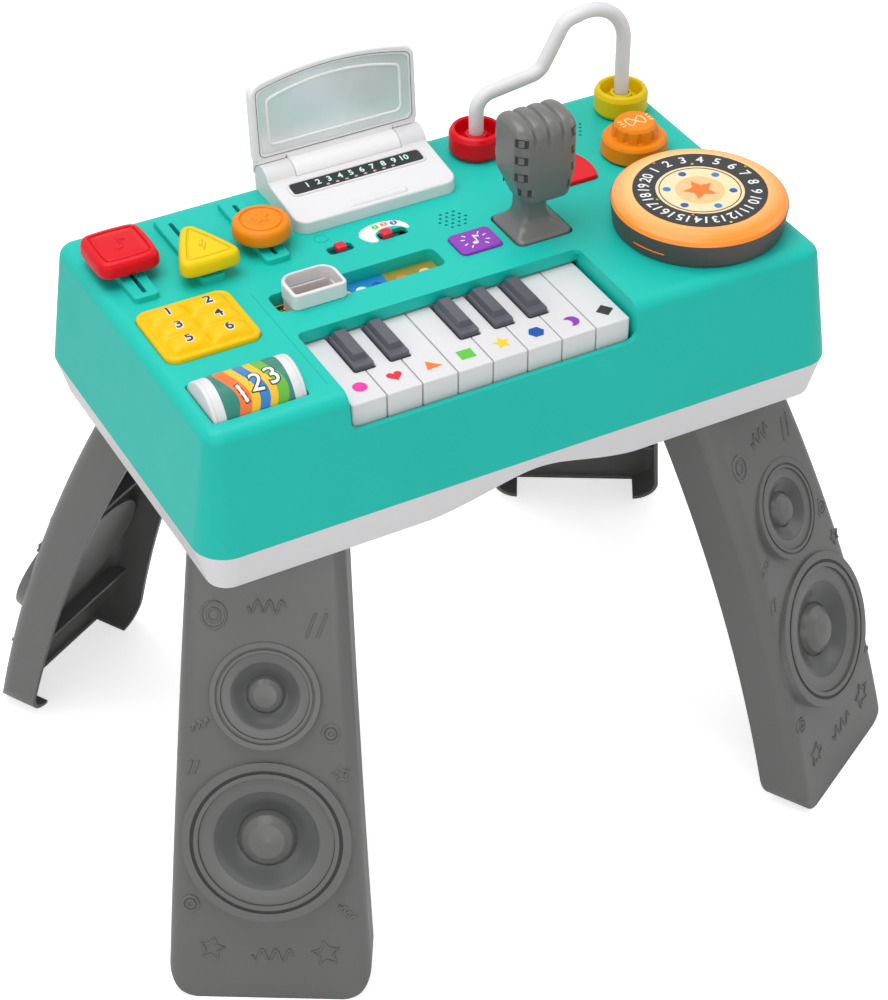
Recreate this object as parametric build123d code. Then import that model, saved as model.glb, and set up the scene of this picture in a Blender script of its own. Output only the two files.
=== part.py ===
from build123d import *
import math
import os

# Musical activity table, millimetres. X to the right, Y to the back, Z up, origin on the floor
# under the middle of the table.

# ---- case ----
case_width = 440.0
case_depth = 253.2
case_corner = 21.0
parting_z = 313.0
front_y = -case_depth / 2
top_z = 395.0
case_draft = 7.6          # degrees
top_fillet = 9.0
wall = 3.0
tray_bottom_z = 284.0
tray_draft = 15.0         # degrees
tray_arch_x = 3.0         # middle of the arch in the tray's lower edge
tray_arch_half = 90.0
tray_arch_rise = 18.4
fit = 0.3                 # clearance of a part in its opening
run = 0.05                # radial clearance of a running fit
seat = 0.3                # height of a sliding part above what it slides over

# ---- keyboard ----
key_count = 8
key_left_x = -117.8
key_pitch = 23.6
key_gap = 0.7
key_front_y = front_y + 13.1
key_top_z = 385.0
key_bottom_z = 366.0
key_wall = 1.8
key_neck_drop = 9.0
rod_y = front_y + 90.6
rod_z = 378.5
rod_radius = 2.0
hub_half = 4.5
black_gaps = [1, 2, 4, 5, 6]
black_width = 12.6
black_front_y = front_y + 42.1
black_back_y = front_y + 78.6
black_top_z = 391.8
black_notch = 0.8         # side clearance of a dark key in the notches
well_side = 2.8           # gap between the outer keys and the well
well_back_y = front_y + 80.6
well_skirt_z = 386.6
lip_z = 370.0
lip_inner_y = front_y + 11.7
chassis_top_z = 358.0
skirt_wall = 2.5

# ---- controls ----
slider_xs = [-184.3, -140.5, -96.6]
slider_names = ["red", "yellow", "orange"]
slider_ys = [68.0, 46.0, 52.0]
track_half = 8.25
track_rise = 4.4
track_y0 = 27.0
track_y1 = 103.0
slot_half = 1.4
slot_y0 = 31.0
slot_y1 = 94.0
stem_half = 4.0
cap_bottom_z = 403.0
cap_top_z = 413.5
pad_x0, pad_x1 = -200.0, -138.5
pad_y0, pad_y1 = -41.0, 15.0
pad_corner = 8.0
pad_top_z = 398.0
hump_rise = 3.6
press_travel = 2.0
flange_grow = 2.0
flange_thick = 3.0
roller_y = -83.0
roller_z = 386.5
roller_radius = 21.0
roller_x0, roller_x1 = -199.5, -140.5
roller_gap = 1.0
axle_radius = 2.0
window_x0, window_x1 = -119.5, -6.0
window_y0, window_y1 = -22.5, -2.0
window_corner = 5.0
window_depth = 9.5
strip_thick = 0.8
viewer_x0, viewer_x1 = -111.5, -75.0
viewer_y0, viewer_y1 = -25.3, 0.5
viewer_top_z = 405.5
viewer_wall = 2.3
switch_y = 23.7
switch_xs = [-56.5, -20.0]
switch_slots = [17.0, 19.5]
switch_knobs = [0.0, -4.5]
slot_wide = 8.2
purple_x, purple_y = 20.8, -9.5
purple_w, purple_d = 29.0, 23.0
red_x0, red_x1 = 90.0, 126.0
red_y0, red_y1 = 18.3, 50.5
red_bulge = 4.0
board_z = 376.0
board_thick = 1.6

# ---- microphone ----
mic_x, mic_y = 61.6, -8.7
mic_w, mic_d = 38.0, 38.0
mic_gap = 1.1
mic_pivot_z = 388.0
mic_head_z = 420.0        # underside of the head
mic_wide_z = 439.0        # head is full size from here up
mic_top_z = 477.0
mic_head_x = 63.0
mic_head_w, mic_head_d = 43.0, 36.0
mic_head_round = 8.0
mic_arch = 35.0           # radius of the head's arched top
mic_ridge_pitch = 9.8
mic_low_w, mic_low_d = 33.0, 26.0             # underside of the head
mic_low_x, mic_low_y = mic_head_x + 2, mic_y - 3
mic_slot_zs = [430.0, 442.0, 454.0, 466.0]    # slots down the head's upright corners
mic_slot_w, mic_slot_h, mic_slot_deep = 9.5, 6.0, 1.3

# ---- laptop ----
lap_x0, lap_x1 = -73.0, 40.5
lap_front_y = 47.5
lap_front_z = 403.5
lap_rear_z = 409.0
lap_axis_y = 102.0
lap_axis_z = 406.0
lap_barrel = 10.0
barrel_x0, barrel_x1 = -53.0, 22.5
lid_x0, lid_x1 = -75.0, 41.0
lid_front = 3.0           # lid face behind the hinge axis
lid_thick = 8.0
lid_top = 71.5            # middle of the lid's arched top edge above the hinge axis
lid_side_top = 64.0       # ends of that edge
lid_lean = 4.0            # degrees
lid_corner = 10.0
lid_rim = 5.0
mirror_thick = 1.2

# ---- turntable, knob, rings ----
platter_x, platter_y = 156.0, -54.5
platter_radius = 56.0
platter_edge_z = 411.0
platter_top_z = 417.5
dial_inner, dial_outer = 28.0, 42.3
spindle_radius = 6.0
knob_x, knob_y = 164.0, 35.5
knob_base_radius = 22.3
knob_grip_radius = 15.0
knob_base_z = 408.0
knob_top_z = 418.0
knob_spindle_radius = 3.5
ring_y = 85.5
red_ring_x = 73.6
yellow_ring_x = 184.0
ring_radius = 18.0
ring_z0, ring_z1 = 395.8, 413.0
ring_play = 0.4
tube_radius = 4.9
tube_foot_z = 385.0

# ---- grille and loudspeaker ----
grille_small = (21.0, 20.0)
grille_large = (137.0, 82.0)
grille_pitch = 4.6
grille_hole = 0.95
speaker_radius = 24.0

# ---- legs ----
leg_turn = 30.0           # degrees between the leg's width and X
leg_offset = 99.2         # leg middle along its own width direction
leg_foot_out = 272.4      # outer face from the middle of the table, at the floor
leg_top_out = 168.0
leg_bulge = 11.0
leg_foot_half = 65.5
leg_top_half = 48.0
leg_foot_deep = 31.0
leg_top_deep = 40.0
leg_wall = 3.0
leg_foot_round = 20.0
leg_crease = 0.05         # foot corners meet the sides in a faint crease
leg_edge_round = 10.0
cone_big_z, cone_big_r = 112.0, 53.0
cone_small_z, cone_small_r = 202.0, 34.0

# ---- fasteners and batteries ----
screw_radius = 1.5
screw_head = 3.2
boss_radius = 5.5
tray_screw_spots = [(-199, 33), (197, 0), (-85, 105), (103, 104), (103, -104), (-97, -104)]
cell_radius = 7.2
cell_length = 50.5
bay_x = 3.0
bay_z = 299.0
door_lap = 4.0
screw_lap = 4.0           # from the bay's end to the door screw

LOW = (Align.CENTER, Align.CENTER, Align.MIN)


def slab(x0, x1, y0, y1, z0, z1, corner=0.0):
    """Plate between two corners with rounded plan corners."""
    plan = Rectangle(x1 - x0, y1 - y0)
    if corner > 0:
        plan = RectangleRounded(x1 - x0, y1 - y0, corner)
    return Pos((x0 + x1) / 2, (y0 + y1) / 2, z0) * extrude(plan, z1 - z0)


def post(x, y, z0, z1, radius):
    return Pos(x, y, z0) * Cylinder(radius, z1 - z0, align=LOW)


def rod_along_x(x0, x1, y, z, radius):
    return Pos((x0 + x1) / 2, y, z) * Rot(0, 90, 0) * Cylinder(radius, x1 - x0)


def along_x(points, x0, x1):
    """Prism along X of a closed outline of (y, z) points."""
    face = make_face(Polyline([(0, y, z) for y, z in points], close=True))
    return Pos(x0, 0, 0) * extrude(face, x1 - x0, dir=(1, 0, 0))


def lathe(points, x=0.0, y=0.0):
    """Solid of revolution about a vertical axis of (radius, z) points."""
    face = make_face(Polyline([(r, 0, z) for r, z in points], close=True))
    return Pos(x, y, 0) * revolve(face, Axis.Z, 360)


def top_edges(shape):
    return shape.faces().sort_by(Axis.Z)[-1].edges()


def hex_spots(centre, rings):
    """Hole centres of a round hexagonal pattern."""
    spots = []
    for i in range(-rings, rings + 1):
        for j in range(-rings, rings + 1):
            if abs(i + j) <= rings:
                x = centre[0] + grille_pitch * (i + j / 2)
                y = centre[1] + grille_pitch * j * math.sqrt(3) / 2
                spots.append((x, y))
    return spots


# derived sizes
under_top = top_z - wall
key_right_x = key_left_x + key_count * key_pitch
well_x0 = key_left_x - well_side
well_x1 = key_right_x + well_side - key_gap
flange_top_z = under_top - seat
flange_bottom_z = flange_top_z - flange_thick
press_foot_z = board_z + board_thick + press_travel + 2.6
window_floor_z = top_z - window_depth
track_top_z = top_z + track_rise
case_height = top_z - parting_z
tray_height = parting_z - tray_bottom_z


def case_block(grow, height, round_top):
    block = extrude(RectangleRounded(case_width - 2 * grow, case_depth - 2 * grow, case_corner - grow),
                    height, taper=case_draft)
    return Pos(0, 0, parting_z) * fillet(top_edges(block), round_top)


def red_button_plan(grow):
    """Outline of the red button: straight front, bulging right side."""
    x0, x1 = red_x0 - grow, red_x1 + grow
    y0, y1 = red_y0 - grow, red_y1 + grow
    mid = (x1 + red_bulge, (y0 + y1) / 2)
    edges = Polyline((x1, y1), (x0, y1), (x0, y0), (x1, y0)) + ThreePointArc((x1, y0), mid, (x1, y1))
    plan = make_face(edges)
    return fillet(plan.vertices(), 3 + grow)


def case_posts():
    """Screw posts under the top, without the one that stands on the key chassis."""
    return [spot for spot in tray_screw_spots if spot != (-97, -104)]


def make_housing():
    outer = case_block(0, case_height, top_fillet)
    body = outer - case_block(wall, case_height - wall, top_fillet - wall)
    # walls of the keyboard well and its thick front lip
    for x in (well_x0 - skirt_wall, well_x1):
        body += outer & slab(x, x + skirt_wall, lip_inner_y - 1, well_back_y + skirt_wall,
                             chassis_top_z, top_z - 1)
    body += slab(well_x0 - skirt_wall, well_x1 + skirt_wall, well_back_y, well_back_y + skirt_wall,
                 well_skirt_z, top_z - 1)
    body += outer & slab(well_x0 - skirt_wall, well_x1 + skirt_wall, -case_depth / 2, lip_inner_y,
                         chassis_top_z, lip_z + 6)
    cut_plan = slab(well_x0, well_x1, -case_depth, well_back_y, lip_z - 30, top_z + 20, 4.0)
    front = Pos((well_x0 + well_x1) / 2, 0, lip_z + 40) * Rot(90, 0, 0) * extrude(
        RectangleRounded(well_x1 - well_x0, 80, 7.0), 130)
    inside = slab(well_x0, well_x1, lip_inner_y, well_back_y, chassis_top_z, lip_z + 20, 1.0)
    body -= (cut_plan & front) + inside
    # window well
    body += slab(window_x0 - skirt_wall, window_x1 + skirt_wall, window_y0 - skirt_wall,
                 window_y1 + skirt_wall, window_floor_z - wall, top_z - 1, window_corner)
    body -= slab(window_x0, window_x1, window_y0, window_y1, window_floor_z, top_z + 5, window_corner)
    # slider tracks
    for x in slider_xs:
        track = slab(x - track_half, x + track_half, track_y0, track_y1, top_z - 1, track_top_z, 3.0)
        body += fillet(top_edges(track), 1.2)
        body -= slab(x - slot_half, x + slot_half, slot_y0, slot_y1, under_top - 1, track_top_z + 1, 1.3)
    # openings of the pressed and turned parts
    body -= slab(pad_x0 - fit, pad_x1 + fit, pad_y0 - fit, pad_y1 + fit, under_top - 1, top_z + 5,
                 pad_corner + fit)
    body -= slab(purple_x - purple_w / 2 - fit, purple_x + purple_w / 2 + fit,
                 purple_y - purple_d / 2 - fit, purple_y + purple_d / 2 + fit, under_top - 1,
                 top_z + 5, 4.0 + fit)
    body -= Pos(0, 0, under_top - 1) * extrude(red_button_plan(fit), wall + 3)
    body -= slab(mic_x - mic_w / 2 - mic_gap, mic_x + mic_w / 2 + mic_gap, mic_y - mic_d / 2 - mic_gap,
                 mic_y + mic_d / 2 + mic_gap, under_top - 1, top_z + 5, 5.0)
    roller_half = math.sqrt(roller_radius ** 2 - (roller_z - under_top) ** 2) + 0.6
    body -= slab(roller_x0 - roller_gap, roller_x1 + roller_gap, roller_y - roller_half,
                 roller_y + roller_half, under_top - 1, top_z + 5, 2.0)
    for x, length in zip(switch_xs, switch_slots):
        body -= slab(x - length / 2, x + length / 2, switch_y - slot_wide / 2, switch_y + slot_wide / 2,
                     under_top - 1, top_z + 5, 2.5)
    for x, y, radius in ((platter_x, platter_y, spindle_radius), (knob_x, knob_y, knob_spindle_radius),
                         (red_ring_x, ring_y, tube_radius), (yellow_ring_x, ring_y, tube_radius)):
        body -= post(x, y, under_top - 1, top_z + 5, radius)
    for spots in (hex_spots(grille_small, 2), hex_spots(grille_large, 3)):
        for x, y in spots:
            body -= post(x, y, under_top - 1, top_z + 5, grille_hole)
    # bearing plates of the roller axle and of the microphone pin
    for x in (roller_x0 - roller_gap - 2.4, roller_x1 + roller_gap):
        plate = slab(x, x + 2.4, roller_y - 6, roller_y + 6, roller_z - 6, under_top)
        body += plate - rod_along_x(x - 1, x + 4, roller_y, roller_z, axle_radius)
    for x in (mic_x - mic_w / 2 - mic_gap - 2.4, mic_x + mic_w / 2 + mic_gap):
        plate = slab(x, x + 2.4, mic_y - 6, mic_y + 6, mic_pivot_z - 6, under_top)
        body += plate - rod_along_x(x - 1, x + 4, mic_y, mic_pivot_z, axle_radius)
    # sockets of the bead tube
    for x in (red_ring_x, yellow_ring_x):
        body += post(x, ring_y, tube_foot_z - 2, under_top, tube_radius + 3) - post(
            x, ring_y, tube_foot_z, under_top + 1, tube_radius)
    # screw posts and board posts
    for x, y in case_posts():
        body += post(x, y, parting_z, under_top + 1, boss_radius) - post(
            x, y, parting_z - 1, parting_z + 18, screw_radius)
    for x, y in board_posts():
        body += post(x, y, board_z + board_thick, under_top + 1, 3.0)
    for x in (well_x0 - skirt_wall - 5, well_x1 + skirt_wall + 5):
        body += post(x, rod_y - 2, chassis_top_z, under_top + 1, 4.0)
    return body


def board_posts():
    left = [(x, y) for x in (pad_x0 + 1, pad_x1) for y in (pad_y0 - 6, pad_y1 + 6.5)]
    middle = [(-50, 36), (112, 60), (102, -20), (-32, 10)]
    return left + middle


def make_base_tray():
    block = extrude(RectangleRounded(case_width, case_depth, case_corner), tray_height, taper=tray_draft)
    outer = Pos(0, 0, parting_z) * Rot(180, 0, 0) * fillet(top_edges(block), 2.5)
    room = extrude(RectangleRounded(case_width - 2 * wall, case_depth - 2 * wall, case_corner - wall),
                   tray_height - wall, taper=tray_draft)
    room = Pos(0, 0, parting_z) * Rot(180, 0, 0) * room

    def arch(lift):
        x0, x1 = tray_arch_x - tray_arch_half, tray_arch_x + tray_arch_half
        low = tray_bottom_z + lift
        curve = Spline((x0, 0, low), (tray_arch_x, 0, low + tray_arch_rise), (x1, 0, low),
                       tangents=[(1, 0, 0), (1, 0, 0)])
        rest = Polyline((x1, 0, low), (x1, 0, low - 20), (x0, 0, low - 20), (x0, 0, low))
        return extrude(make_face(curve + rest), case_depth / 2, both=True)

    body = outer - (room - arch(wall)) - arch(0)
    # battery bay with the seat of its door
    half_x, half_y = bay_half()
    bay_top = bay_z + 2 * cell_radius + 3
    lap_x, lap_y = half_x + 2 * screw_lap, half_y + door_lap
    body += slab(bay_x - lap_x - 2, bay_x + lap_x + 2, -lap_y - 2, lap_y + 2, bay_z - 2, bay_top + 2, 3.0)
    body -= slab(bay_x - half_x, bay_x + half_x, -half_y, half_y, bay_z - 3, bay_top)
    body -= slab(bay_x - lap_x, bay_x + lap_x, -lap_y, lap_y, bay_z - 12, bay_z, 2.0)
    body -= post(door_screw_x(), 0, bay_z - 1, bay_z + 8, screw_radius)
    for x, y in tray_screw_spots:
        body += post(x, y, tray_bottom_z + 1, parting_z, boss_radius)
        body -= post(x, y, tray_bottom_z - 5, tray_bottom_z + 6, screw_head + 0.3)
        body -= post(x, y, tray_bottom_z, parting_z + 1, screw_radius + 0.2)
    for x, y in leg_screw_spots():
        body += post(x, y, tray_bottom_z + wall - 1, tray_bottom_z + 20, 4.5)
        body -= post(x, y, tray_bottom_z - 1, tray_bottom_z + 15, screw_radius)
    return body


# ---- legs: drawn with the width along X and the outer face towards -Y, then turned ----
def leg_place():
    turn = math.radians(leg_turn)
    return Pos(leg_offset * math.cos(turn), leg_offset * math.sin(turn), 0) * Rot(0, 0, leg_turn)


def leg_out(z):
    """Distance of the outer face from the middle of the table at a height."""
    u = z / tray_bottom_z
    return leg_foot_out * (1 - u) + leg_top_out * u + 4 * leg_bulge * u * (1 - u)


def leg_profile(inset, deep_foot, deep_top):
    """Side outline of the leg, from its outer face to a depth behind it."""
    foot, top, mid = leg_foot_out - inset, leg_top_out - inset, leg_out(tray_bottom_z / 2) - inset
    deep_mid = (deep_foot + deep_top) / 2
    low, high, half = 0.0, tray_bottom_z, tray_bottom_z / 2
    outer = ThreePointArc((0, -foot, low), (0, -mid, half), (0, -top, high))
    lid = Line((0, -top, high), (0, -top + deep_top, high))
    inner = ThreePointArc((0, -top + deep_top, high), (0, -mid + deep_mid, half), (0, -foot + deep_foot, low))
    sole = Line((0, -foot + deep_foot, low), (0, -foot, low))
    return extrude(make_face(outer + lid + inner + sole), leg_foot_half + 5, dir=(1, 0, 0), both=True)


def leg_front(inset, sole_z, corner):
    """Front outline of the leg as a prism along Y."""
    f = leg_foot_half - inset
    t = leg_top_half - inset
    plan = make_face(Polyline((-f, 0, sole_z), (f, 0, sole_z), (t, 0, tray_bottom_z),
                              (-t, 0, tray_bottom_z), close=True))
    if corner > 0:
        plan = fillet(plan.vertices().sort_by(Axis.Z)[0:2], corner)
    return Pos(0, -120, 0) * extrude(plan, 180, dir=(0, 1, 0), both=True)


def cone_place(z, radius):
    """Plane of a loudspeaker relief, tangent to the leg at its top and proud at its bottom."""
    top_out, low_out = leg_out(z + radius), leg_out(z - radius)
    lean = math.degrees(math.atan2(low_out - top_out, 2 * radius))
    proud = radius * 0.09
    turn = 90 - lean - math.degrees(proud / radius)
    return Pos(0, -leg_out(z), z) * Rot(turn, 0, 0) * Pos(0, 0, proud + 0.4)


def cone_dish(radius):
    """Cut of the cone and groove with the domed middle left standing."""
    cone, dome = radius * 0.80, radius * 0.30
    dish = lathe([(0, 1), (cone, 1), (cone, -2.0), (dome * 1.15, -radius * 0.2), (dome, -radius * 0.12),
                  (dome * 0.7, -radius * 0.05), (0, -radius * 0.02)])
    groove = lathe([(cone * 1.07, 1), (cone * 1.12, 1), (cone * 1.12, -1.2), (cone * 1.07, -1.2)])
    return dish + groove


def round_front(shape, inset, radius):
    """Round the two long edges between the outer face and the sides."""
    edges = [edge for edge in shape.edges() if abs(edge.center().X) > leg_top_half - 5
             and abs(edge.center().Y + leg_out(edge.center().Z) - inset) < 1.5 and edge.length > 100]
    return fillet(edges, radius)


def leg_block(inset, deeper, sole_z):
    """Leg outline, its long front edges rounded first and then the corners of its foot."""
    block = leg_profile(inset, leg_foot_deep + deeper, leg_top_deep + deeper) & leg_front(inset, 0.0, 0.0)
    block = round_front(block, inset, leg_edge_round - inset)
    return block & leg_front(inset - leg_crease, sole_z, leg_foot_round - inset)


def make_leg():
    solid = leg_block(0, 0, -leg_crease)
    room = leg_block(leg_wall, 30, leg_wall)
    room &= Pos(0, -200, 0) * Box(300, 400, tray_bottom_z - leg_wall, align=LOW)
    body = solid - room
    body -= slab(leg_foot_round - leg_foot_half, leg_foot_half - leg_foot_round,
                 leg_wall - leg_foot_out + 3, 60 - leg_foot_out, -1, leg_wall + 1)
    # stiffening ribs across the channel
    for z in (46.0, 158.0):
        body += solid & slab(-leg_foot_half, leg_foot_half, 1 - leg_out(z), 16 - leg_out(z), z, z + 2.2)
    for z, radius in ((cone_big_z, cone_big_r), (cone_small_z, cone_small_r)):
        drum = Pos(0, 0, -radius * 0.34) * Cylinder(radius, radius * 0.34, align=LOW)
        body += cone_place(z, radius) * drum
    for z, radius in ((cone_big_z, cone_big_r), (cone_small_z, cone_small_r)):
        body -= cone_place(z, radius) * cone_dish(radius)
    for x, y in leg_screw_local():
        body -= post(x, y, tray_bottom_z - 10, tray_bottom_z + 1, screw_radius + 0.2)
    return leg_place() * body


def leg_screw_local():
    return [(x, leg_top_deep * 0.62 - leg_top_out) for x in (-26, 26)]


def leg_screw_spots():
    """Screw centres of all four legs."""
    spots = []
    turn = math.radians(leg_turn)
    for x, y in leg_screw_local():
        wx = (leg_offset + x) * math.cos(turn) - y * math.sin(turn)
        wy = (leg_offset + x) * math.sin(turn) + y * math.cos(turn)
        spots += [(sx * wx, sy * wy) for sx in (1, -1) for sy in (1, -1)]
    return spots


def make_screw(x, y, seat_z, length):
    """Screw driven upwards, head below the seat."""
    return post(x, y, seat_z - 2.4, seat_z, screw_head) + post(x, y, seat_z - 1, seat_z + length, screw_radius)


# ---- keyboard ----
def gap_x(index):
    return key_left_x + index * key_pitch - key_gap / 2


def black_key_xs():
    return [gap_x(i) for i in black_gaps]


def make_white_key(index):
    x0 = key_left_x + index * key_pitch
    x1 = x0 + key_pitch - key_gap
    block_back = black_front_y - black_notch
    key = slab(x0, x1, key_front_y, block_back - 2, key_bottom_z, key_top_z, 1.2)
    key -= slab(x0 + key_wall, x1 - key_wall, key_front_y + key_wall, block_back - 2 - key_wall,
                key_bottom_z - 1, key_top_z - key_wall - 0.6)
    key += slab(x0, x1, block_back - 8, rod_y - 1, key_top_z - key_neck_drop, key_top_z)
    key += slab(x0 + 0.6, x1 - 0.6, rod_y - hub_half, rod_y + hub_half, rod_z - hub_half, key_top_z - 1.5)
    for x in black_key_xs():
        half = black_width / 2 + black_notch
        if x0 - half < x < x1 + half:
            key -= slab(x - half, x + half, block_back, rod_y - hub_half - 3, key_bottom_z - 1,
                        key_top_z + 1, 1.5)
    rim = [e for e in key.edges() if abs(e.center().Z - key_top_z) < 0.01 and e.length > 2]
    key = fillet(rim, 0.7)
    return key - rod_along_x(x0 - 1, x1 + 1, rod_y, rod_z, rod_radius + run)


def make_black_key_bar():
    xs = black_key_xs()
    bar = slab(xs[0] - black_width / 2, xs[-1] + black_width / 2, black_front_y + 2, black_back_y - 2,
               chassis_top_z, chassis_top_z + 3)
    shoulder_z = key_top_z + 3.0
    for x in xs:
        bar += slab(x - black_width / 2, x + black_width / 2, black_front_y, black_back_y,
                    chassis_top_z, shoulder_z, 1.4)
        middle = (black_front_y + 5.5 + black_back_y) / 2
        cap = extrude(Rectangle(black_width - 2.2, black_back_y - black_front_y - 6.5),
                      black_top_z - shoulder_z + 0.5, taper=20)
        bar += Pos(x, middle, shoulder_z - 0.5) * cap
    return bar


def make_key_chassis():
    x0, x1 = well_x0 - skirt_wall - 9.5, well_x1 + skirt_wall + 9.5
    plate = slab(x0, x1, rod_y - 6.5, rod_y + 9, chassis_top_z - 3, chassis_top_z, 2.0)
    plate += slab(well_x0 - skirt_wall, well_x1 + skirt_wall, lip_inner_y + 0.4, rod_y + 9,
                  chassis_top_z - 3, chassis_top_z)
    for x in (well_x0 + 0.2, well_x1 - 2.2):
        plate += slab(x, x + 2.0, rod_y - 5, rod_y + 5, chassis_top_z - 1, rod_z + 5)
    x, y = tray_screw_spots[-1]
    plate += post(x, y, parting_z, chassis_top_z - 2, boss_radius)
    plate -= post(x, y, parting_z - 1, parting_z + 18, screw_radius)
    return plate - rod_along_x(x0, x1, rod_y, rod_z, rod_radius)


# ---- pressed parts ----
def with_flange(shape, plan_flange):
    return shape + Pos(0, 0, flange_bottom_z) * extrude(plan_flange, flange_thick)


def make_number_pad():
    x, y = (pad_x0 + pad_x1) / 2, (pad_y0 + pad_y1) / 2
    w, d = pad_x1 - pad_x0, pad_y1 - pad_y0
    pad = slab(pad_x0, pad_x1, pad_y0, pad_y1, flange_top_z - 1, pad_top_z, pad_corner)
    pad = fillet(top_edges(pad), 1.6)
    pitch_x, pitch_y = (w - 5) / 2, (d - 5) / 3
    for i in (-0.5, 0.5):
        for j in (-1, 0, 1):
            hump = extrude(RectangleRounded(pitch_x - 2.0, pitch_y - 2.0, 5.0), hump_rise + 1)
            pad += Pos(x + i * pitch_x, y + j * pitch_y, pad_top_z - 1) * fillet(top_edges(hump), 2.6)
    frame = RectangleRounded(w + 2 * flange_grow, d + 2 * flange_grow, pad_corner)
    pad = with_flange(pad, Pos(x, y) * frame)
    return pad + slab(x - 8, x + 8, y - 8, y + 8, press_foot_z, flange_bottom_z + 1)


def make_purple_button():
    cap = slab(purple_x - purple_w / 2, purple_x + purple_w / 2, purple_y - purple_d / 2,
               purple_y + purple_d / 2, flange_top_z - 1, top_z + 1.8, 4.0)
    cap = fillet(top_edges(cap), 0.9)
    cap = with_flange(cap, Pos(purple_x, purple_y) * RectangleRounded(
        purple_w + 2 * flange_grow, purple_d + 2 * flange_grow, 4.0))
    return cap + post(purple_x, purple_y, press_foot_z, flange_bottom_z + 1, 4.0)


def make_red_button():
    cap = Pos(0, 0, flange_top_z - 1) * extrude(red_button_plan(0), top_z + 2.6 - flange_top_z + 1)
    cap = fillet(top_edges(cap), 1.0)
    cap = with_flange(cap, red_button_plan(flange_grow))
    return cap + post((red_x0 + red_x1) / 2, (red_y0 + red_y1) / 2, press_foot_z, flange_bottom_z + 1, 4.0)


def make_button_contacts():
    """Rubber contact blocks under the pressed parts."""
    top = press_foot_z - press_travel - 0.4
    low = board_z + board_thick
    x, y = (pad_x0 + pad_x1) / 2, (pad_y0 + pad_y1) / 2
    return [slab(x - 9, x + 9, y - 9, y + 9, low, top, 2.0), post(purple_x, purple_y, low, top, 5.0),
            post((red_x0 + red_x1) / 2, (red_y0 + red_y1) / 2, low, top, 5.0)]


def make_circuit_boards():
    left = slab(pad_x0 - 4.5, pad_x1 + 4.5, pad_y0 - 10, pad_y1 + 11, board_z, board_z + board_thick)
    middle = slab(-62, 118, -24, 64, board_z, board_z + board_thick)
    return [left, middle]


# ---- sliders ----
def slider_plan(name):
    if name == "red":
        return RectangleRounded(38, 38, 6)
    if name == "yellow":
        plan = make_face(Polyline((-20, -18), (20, -18), (0, 24), close=True))
        return fillet(plan.vertices(), 4.0)
    return Circle(18.7)


def make_slider_cap(name, x, y):
    cap = Pos(0, 0, cap_bottom_z) * extrude(slider_plan(name), cap_top_z - cap_bottom_z, taper=4)
    cap = fillet(top_edges(cap), 2.2)
    cap += slab(-5, 5, -8, 8, track_top_z + seat, cap_bottom_z + 1, 2.0)
    cap += slab(fit - slot_half, slot_half - fit, -stem_half, stem_half,
                flange_bottom_z, cap_bottom_z)
    return Pos(x, y, 0) * cap


def make_slider_carriage(x, y):
    plate = slab(-6, 6, -9, 9, flange_bottom_z, flange_top_z, 1.5)
    plate -= slab(fit - slot_half, slot_half - fit, -stem_half, stem_half,
                  flange_bottom_z - 1, flange_top_z + 1)
    return Pos(x, y, 0) * plate


# ---- window and switches ----
def make_viewer_frame():
    x, y = (viewer_x0 + viewer_x1) / 2, (viewer_y0 + viewer_y1) / 2
    w, d = viewer_x1 - viewer_x0, viewer_y1 - viewer_y0

    def loop(inset, height):
        plan = Rectangle(w - 2 * inset, d - 2 * inset)
        back = plan.vertices().sort_by(Axis.Y)[2:4]
        plan = fillet(back, 10.0 - inset)
        front = plan.vertices().sort_by(Axis.Y)[0:2]
        return extrude(fillet(front, 4.0 - min(inset, 3.0)), height)

    rise = viewer_top_z - top_z - seat
    tube = loop(0, rise)
    tube = Pos(x, y, top_z + seat) * (fillet(top_edges(tube), 0.9) - Pos(0, 0, -1) * loop(viewer_wall, rise + 2))
    side = fit
    skirt = slab(viewer_x0 + 1.5, viewer_x1 - 1.5, window_y0 + side, window_y1 - side,
                 window_floor_z + strip_thick + seat, top_z + seat + 1.5, window_corner - fit)
    skirt -= slab(viewer_x0 + 3.5, viewer_x1 - 3.5, window_y0 + side + 1.6, window_y1 - side - 1.6,
                  window_floor_z, top_z + 8, 1.5)
    return tube + skirt


def make_window_strip():
    return slab(window_x0 + 0.5, window_x1 - 0.5, window_y0 + 0.5, window_y1 - 0.5, window_floor_z,
                window_floor_z + strip_thick, window_corner - 0.5)


def make_switch_knob(x, shift):
    knob = slab(-3.6, 3.6, fit - slot_wide / 2 + 0.3, slot_wide / 2 - fit - 0.3, flange_top_z - 1, top_z + 3.2, 1.6)
    knob = fillet(top_edges(knob), 1.0)
    knob += slab(-10, 10, -6.5, 6.5, flange_bottom_z, flange_top_z, 1.0)
    return Pos(x + shift, switch_y, 0) * knob


def make_switch_plate():
    x, length = switch_xs[1], switch_slots[1]
    plate = slab(x - 20, x + 13, switch_y - 5.7, switch_y + 13.3, top_z, top_z + 0.6, 3.0)
    return plate - slab(x - length / 2, x + length / 2, switch_y - slot_wide / 2,
                        switch_y + slot_wide / 2, top_z - 1, top_z + 2, 2.5)


# ---- roller ----
def make_roller_drum():
    drum = rod_along_x(roller_x0 + 2.5, roller_x1 - 2.5, roller_y, roller_z, roller_radius)
    return drum - rod_along_x(roller_x0, roller_x1, roller_y, roller_z, roller_radius - 2)


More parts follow.
